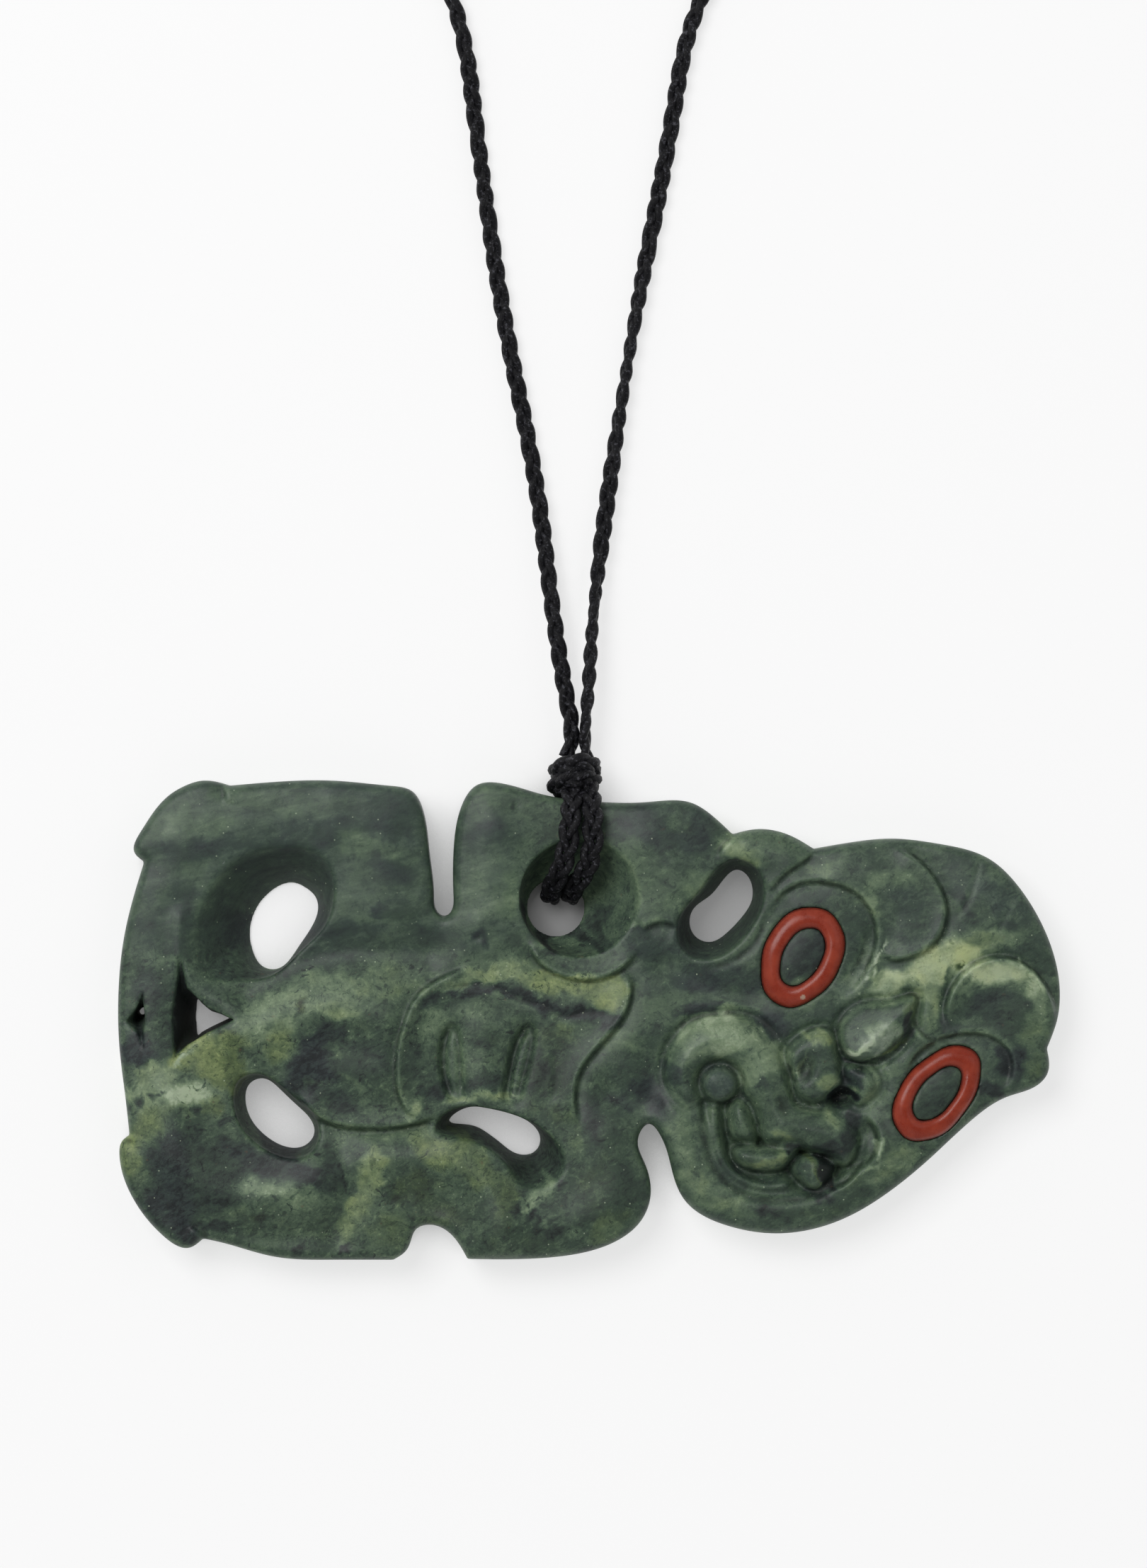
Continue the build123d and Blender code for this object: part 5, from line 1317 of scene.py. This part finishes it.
def stoneLevel(tree, spot, grain, mottle, tone, calm):
    # how light the stone is: clouds, streaks, wisps, clots, flecks and fine veins
    lively = 1 - calm * 0.6
    clouds = noise(tree, vectorStep(tree, "MULTIPLY", spot, (1.0, 1.5, 1.0)), 3.2, 5.0, 0.62, 0.8)
    wisps = noise(tree, spot, 1.9, 6.0, 0.6, 2.2)
    streaks = noise(tree, drawnOut(tree, spot, -14, 0.22), 1.5, 5.0, 0.6, 0.5)
    level = tone + (clouds - 0.5) * 0.9 + (mottle - 0.5) * 1.15 * lively + (grain - 0.5) * 0.7 * lively
    level = level + (streaks - 0.5) * calm * 1.1
    level = level + clampTo(tree, wisps, 0.58, 0.72) * 0.3 * lively
    level = level - clampTo(tree, wisps, 0.43, 0.33) * 0.4 * lively
    flecks = noise(tree, drawnOut(tree, spot, -32, 0.45), 0.62, 4.0, 0.68, 0.3)
    level = level - clampTo(tree, flecks - tone * 0.1, 0.57, 0.62) * 0.36 * lively
    level = level + clampTo(tree, flecks + tone * 0.1, 0.42, 0.36) * 0.24 * lively
    clots = clampTo(tree, noise(tree, spot, 1.4, 4.0, 0.7, 1.0), 0.62, 0.68) * (1 - calm)
    away = noise(tree, spot, 2.6, 5.0, 0.62, 1.4) - 0.5
    veins = clampTo(tree, away.math("ABSOLUTE", away), 0.016, 0.004)
    where = clampTo(tree, noise(tree, spot, 4.0, 2.0), 0.57, 0.67)
    return level - clots * 0.75 - veins * where * (1 - calm) * 0.45


# The two ends first, then what lies between: how light the stone is there, and its colour.
greenStops = [(0.0, (0.010, 0.016, 0.014, 1)), (1.0, (0.50, 0.61, 0.41, 1)),
              (0.26, (0.031, 0.048, 0.038, 1)), (0.46, (0.055, 0.092, 0.061, 1)),
              (0.62, (0.115, 0.178, 0.108, 1)), (0.8, (0.25, 0.34, 0.205, 1))]


def stoneGreens(tree, spot, level, warm, calm):
    # from near black to pale green, yellower or bluer
    green = take(tree, addNode(tree, "ShaderNodeValToRGB", {"stops": greenStops}, {0: (level + 1.25) / 2.5}))
    yellow = mixColour(tree, 1.0, green, (1.13, 1.05, 0.70, 1), "MULTIPLY")
    cool = mixColour(tree, 1.0, green, (0.95, 0.88, 1.14, 1), "MULTIPLY")
    drift = warm - calm * 0.25 + (noise(tree, spot, 2.4, 3.0) - 0.5) * 0.9
    shade = mixColour(tree, clampTo(tree, drift, 0.0, 1.0), green, yellow)
    return mixColour(tree, clampTo(tree, drift, 0.0, -1.0), shade, cool)


def stoneMarks(tree, spot, shade, grain, cavity, calm):
    # rusty spots, pale specks, painted shade with some dirt in the cuts, and pale residue in them
    rusty = clampTo(tree, noise(tree, spot, 1.0, 2.0, 0.5), 0.72, 0.78) * (1 - calm)
    shade = mixColour(tree, rusty * 0.35, shade, (0.16, 0.08, 0.045, 1))
    cells = {"Vector": spot, "Scale": 1 / (1.15 * mm), "Randomness": 1.0}
    cells = take(tree, addNode(tree, "ShaderNodeTexVoronoi", None, cells), "Distance")
    specks = clampTo(tree, cells, 0.10, 0.05) * clampTo(tree, noise(tree, spot, 2.2, 1.0), 0.44, 0.58)
    shade = mixColour(tree, specks * 0.75, shade, (0.5, 0.6, 0.42, 1))
    broken = clampTo(tree, noise(tree, spot, 1.3, 3.0, 0.6), 0.38, 0.62)
    # painted shade in the cuts, pits and creases, broken up with some dirt
    shadeAndDirt = cavity * (0.55 + broken * 0.5 + (grain - 0.5) * 1.0)
    shade = mixColour(tree, clampTo(tree, shadeAndDirt, 0.15, 0.95) * 0.7, shade, (0.009, 0.015, 0.011, 1))
    residue = clampTo(tree, noise(tree, spot, 0.45, 4.0, 0.7), 0.60, 0.70) * clampTo(tree, cavity, 0.2, 0.7)
    return mixColour(tree, residue * (1 - broken) * 0.6, shade, (0.46, 0.5, 0.42, 1))


def nephriteLook():
    # satin greenstone
    material, tree, shader = startMaterial("nephrite", IOR=1.6, Specular_IOR_Level=0.38,
                                           Subsurface_Weight=0.08, Subsurface_Scale=0.0012,
                                           Subsurface_Radius=(0.5, 1.0, 0.45))
    spot = objectSpot(tree)
    tone, warm, cavity, deep, calm = [attribute(tree, name) for name in stoneLayers]
    mottle = noise(tree, spot, 1.2, 5.0, 0.65, 0.5)
    grain = noise(tree, spot, 0.3, 3.0, 0.6)
    level = stoneLevel(tree, spot, grain, mottle, tone, calm)
    shade = stoneGreens(tree, spot, level, warm, calm)
    feed(tree, shader, "Base Color", stoneMarks(tree, spot, shade, grain, cavity, calm))
    scuffs = noise(tree, spot, 4.5, 4.0, 0.6)
    roughness = 0.48 + (scuffs - 0.5) * 0.2 + (grain - 0.5) * 0.16 + cavity * 0.1 + deep * 0.3
    feed(tree, shader, "Roughness", roughness)
    roughen(tree, shader, 0.5, 0.05, mottle * 0.5 + grain * 0.5 + noise(tree, spot, 0.14, 2.0) * 0.25)
    return material


def thinDown(obj, triangles):
    # the mesh with fewer faces, of the same shape
    fewer = obj.modifiers.new("fewer", "DECIMATE")
    fewer.ratio = min(1.0, triangles / triangleCount(obj))
    mesh = evaluatedMesh(obj)
    obj.modifiers.clear()
    obj.data = mesh


def readVectors(items, name):
    # one vector of each vertex, as rows
    values = np.empty(len(items) * 3)
    items.foreach_get(name, values)
    return values.reshape(-1, 3)


def paintStone(mesh):
    # the values that the stone's colour reads at each vertex
    x, y, z = (readVectors(mesh.vertices, "co") / mm).T
    slant = stonePaint["slant"] * (stoneSizes["ground"] - z)
    tone, warm = paintedTone(x + slant, y - slant)
    below = readFront("top", x, y) - z
    cavity = readFront("cavity", x, y) * ramp(-below, -stonePaint["shadeDepth"], stonePaint["shadeFade"])
    deep = ramp(below, stonePaint["deepFrom"], stonePaint["deepOver"])
    steep = 1 - np.clip(readVectors(mesh.vertex_normals, "vector")[:, 2], 0, 1)
    # painted shade on the deep, steep walls of the openings
    tone -= readFront("dark", x, y) * deep * steep
    # edges lighter with wear and painted highlight
    tone += stonePaint["wearAndHighlight"] * readFront("worn", x, y) * (1 - deep)
    deep *= readFront("inside", x, y)
    calm = ramp(y, *calmPlaces["across"]) * ramp(-x, *calmPlaces["left"])
    calm = np.maximum(calm, calmPlaces["headShare"] * ramp(x, *calmPlaces["head"]))
    for name, values in zip(stoneLayers, (tone, warm, cavity, deep, calm)):
        storeValues(mesh, name, values)


greenstone = meshFrom("greenstone", stonePoints * mm, stoneQuads[:, ::-1], nephriteLook())
thinDown(greenstone, stoneSizes["triangles"])
paintStone(greenstone.data)
greenstone.data.shade_smooth()
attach(greenstone, "root")
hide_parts("tiki_body")
print("greenstone triangles", triangleCount(greenstone))


# the wax rings

# a pale chip in the upper ring
waxChip = {"middle": (24.9, 2.8, 8.1), "size": 0.42, "core": 0.2, "ragged": 0.5}


def waxLook():
    # red sealing wax, worn in places, with painted shade along its edges
    material, tree, shader = startMaterial("redWax", IOR=1.45, Subsurface_Weight=0.1, Subsurface_Scale=0.0006,
                                           Subsurface_Radius=(1.0, 0.25, 0.15))
    spot = objectSpot(tree)
    worn = noise(tree, spot, 1.6, 4.0, 0.6)
    fine = noise(tree, spot, 0.22, 3.0, 0.6)
    rim = attribute(tree, "edge") + (fine - 0.5) * 0.3
    shade = mixColour(tree, clampTo(tree, worn, 0.35, 0.7), (0.33, 0.040, 0.018, 1), (0.43, 0.064, 0.030, 1))
    # painted shade along the ring's edges, where it meets the stone
    shade = mixColour(tree, clampTo(tree, rim, 0.72, 1.0) * 0.8, shade, (0.07, 0.012, 0.009, 1))
    away = distanceFrom(tree, spot, waxChip["middle"]) + (fine - 0.5) * (waxChip["ragged"] * mm)
    chip = clampTo(tree, away, waxChip["size"] * mm, waxChip["core"] * mm)
    feed(tree, shader, "Base Color", mixColour(tree, chip * 0.8, shade, (0.6, 0.46, 0.34, 1)))
    feed(tree, shader, "Roughness", 0.30 + (worn - 0.5) * 0.25 + (fine - 0.5) * 0.12)
    roughen(tree, shader, 0.55, 0.05, worn * 0.8 + fine * 0.4)
    return material


def ringHeight(place, edgeness):
    # the crown of wax over the carved front, evened along the ring, with small lumps
    sizes = ringSizes
    level = readFront("top", place[:, 0], place[:, 1])
    level = np.mean([np.roll(level, shift) for shift in range(-sizes["evened"], sizes["evened"] + 1)], axis=0)
    crown = (1 - edgeness ** sizes["crown"]) * sizes["proud"] - sizes["sunk"]
    lumps = blotches(place[:, 0], place[:, 1], sizes["lumpSize"], sizes["lumpSeed"])
    return level + crown + sizes["lump"] * lumps


def ringMesh(name, ring, material):
    # closed rows of points, from the bed over the crown and back down to the bed
    outer, inner = ringEdge(ring, "outside"), ringEdge(ring, "inside")
    turns = np.linspace(ringSizes["rowStart"], math.pi - ringSizes["rowStart"], ringSizes["rows"])
    shares = np.concatenate([[0.0, 0.0], 0.5 - 0.5 * np.cos(turns), [1.0, 1.0]])
    count, rows = len(outer), len(shares)
    points, edgeness = [], []
    for row, share in enumerate(shares):
        place = inner + (outer - inner) * share
        side = abs(2 * share - 1)
        bottom = row in (0, rows - 1)
        height = np.full(count, ringSizes["bed"]) if bottom else ringHeight(place, side)
        points.append(np.column_stack([place, height]))
        edgeness.append(np.full(count, side))
    quads = []
    for row in range(rows):
        here, above = row * count, (row + 1) % rows * count
        steps = [(i, (i + 1) % count) for i in range(count)]
        quads += [(here + i, above + i, above + following, here + following) for i, following in steps]
    wax = meshFrom(name, np.vstack(points) * mm, quads, material)
    storeValues(wax.data, "edge", np.concatenate(edgeness))
    return wax


waxMaterial = waxLook()
for name, ring in rings.items():
    wax = ringMesh(name, ring, waxMaterial)
    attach(wax, "root")
    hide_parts(ring["node"])
print("rings made")
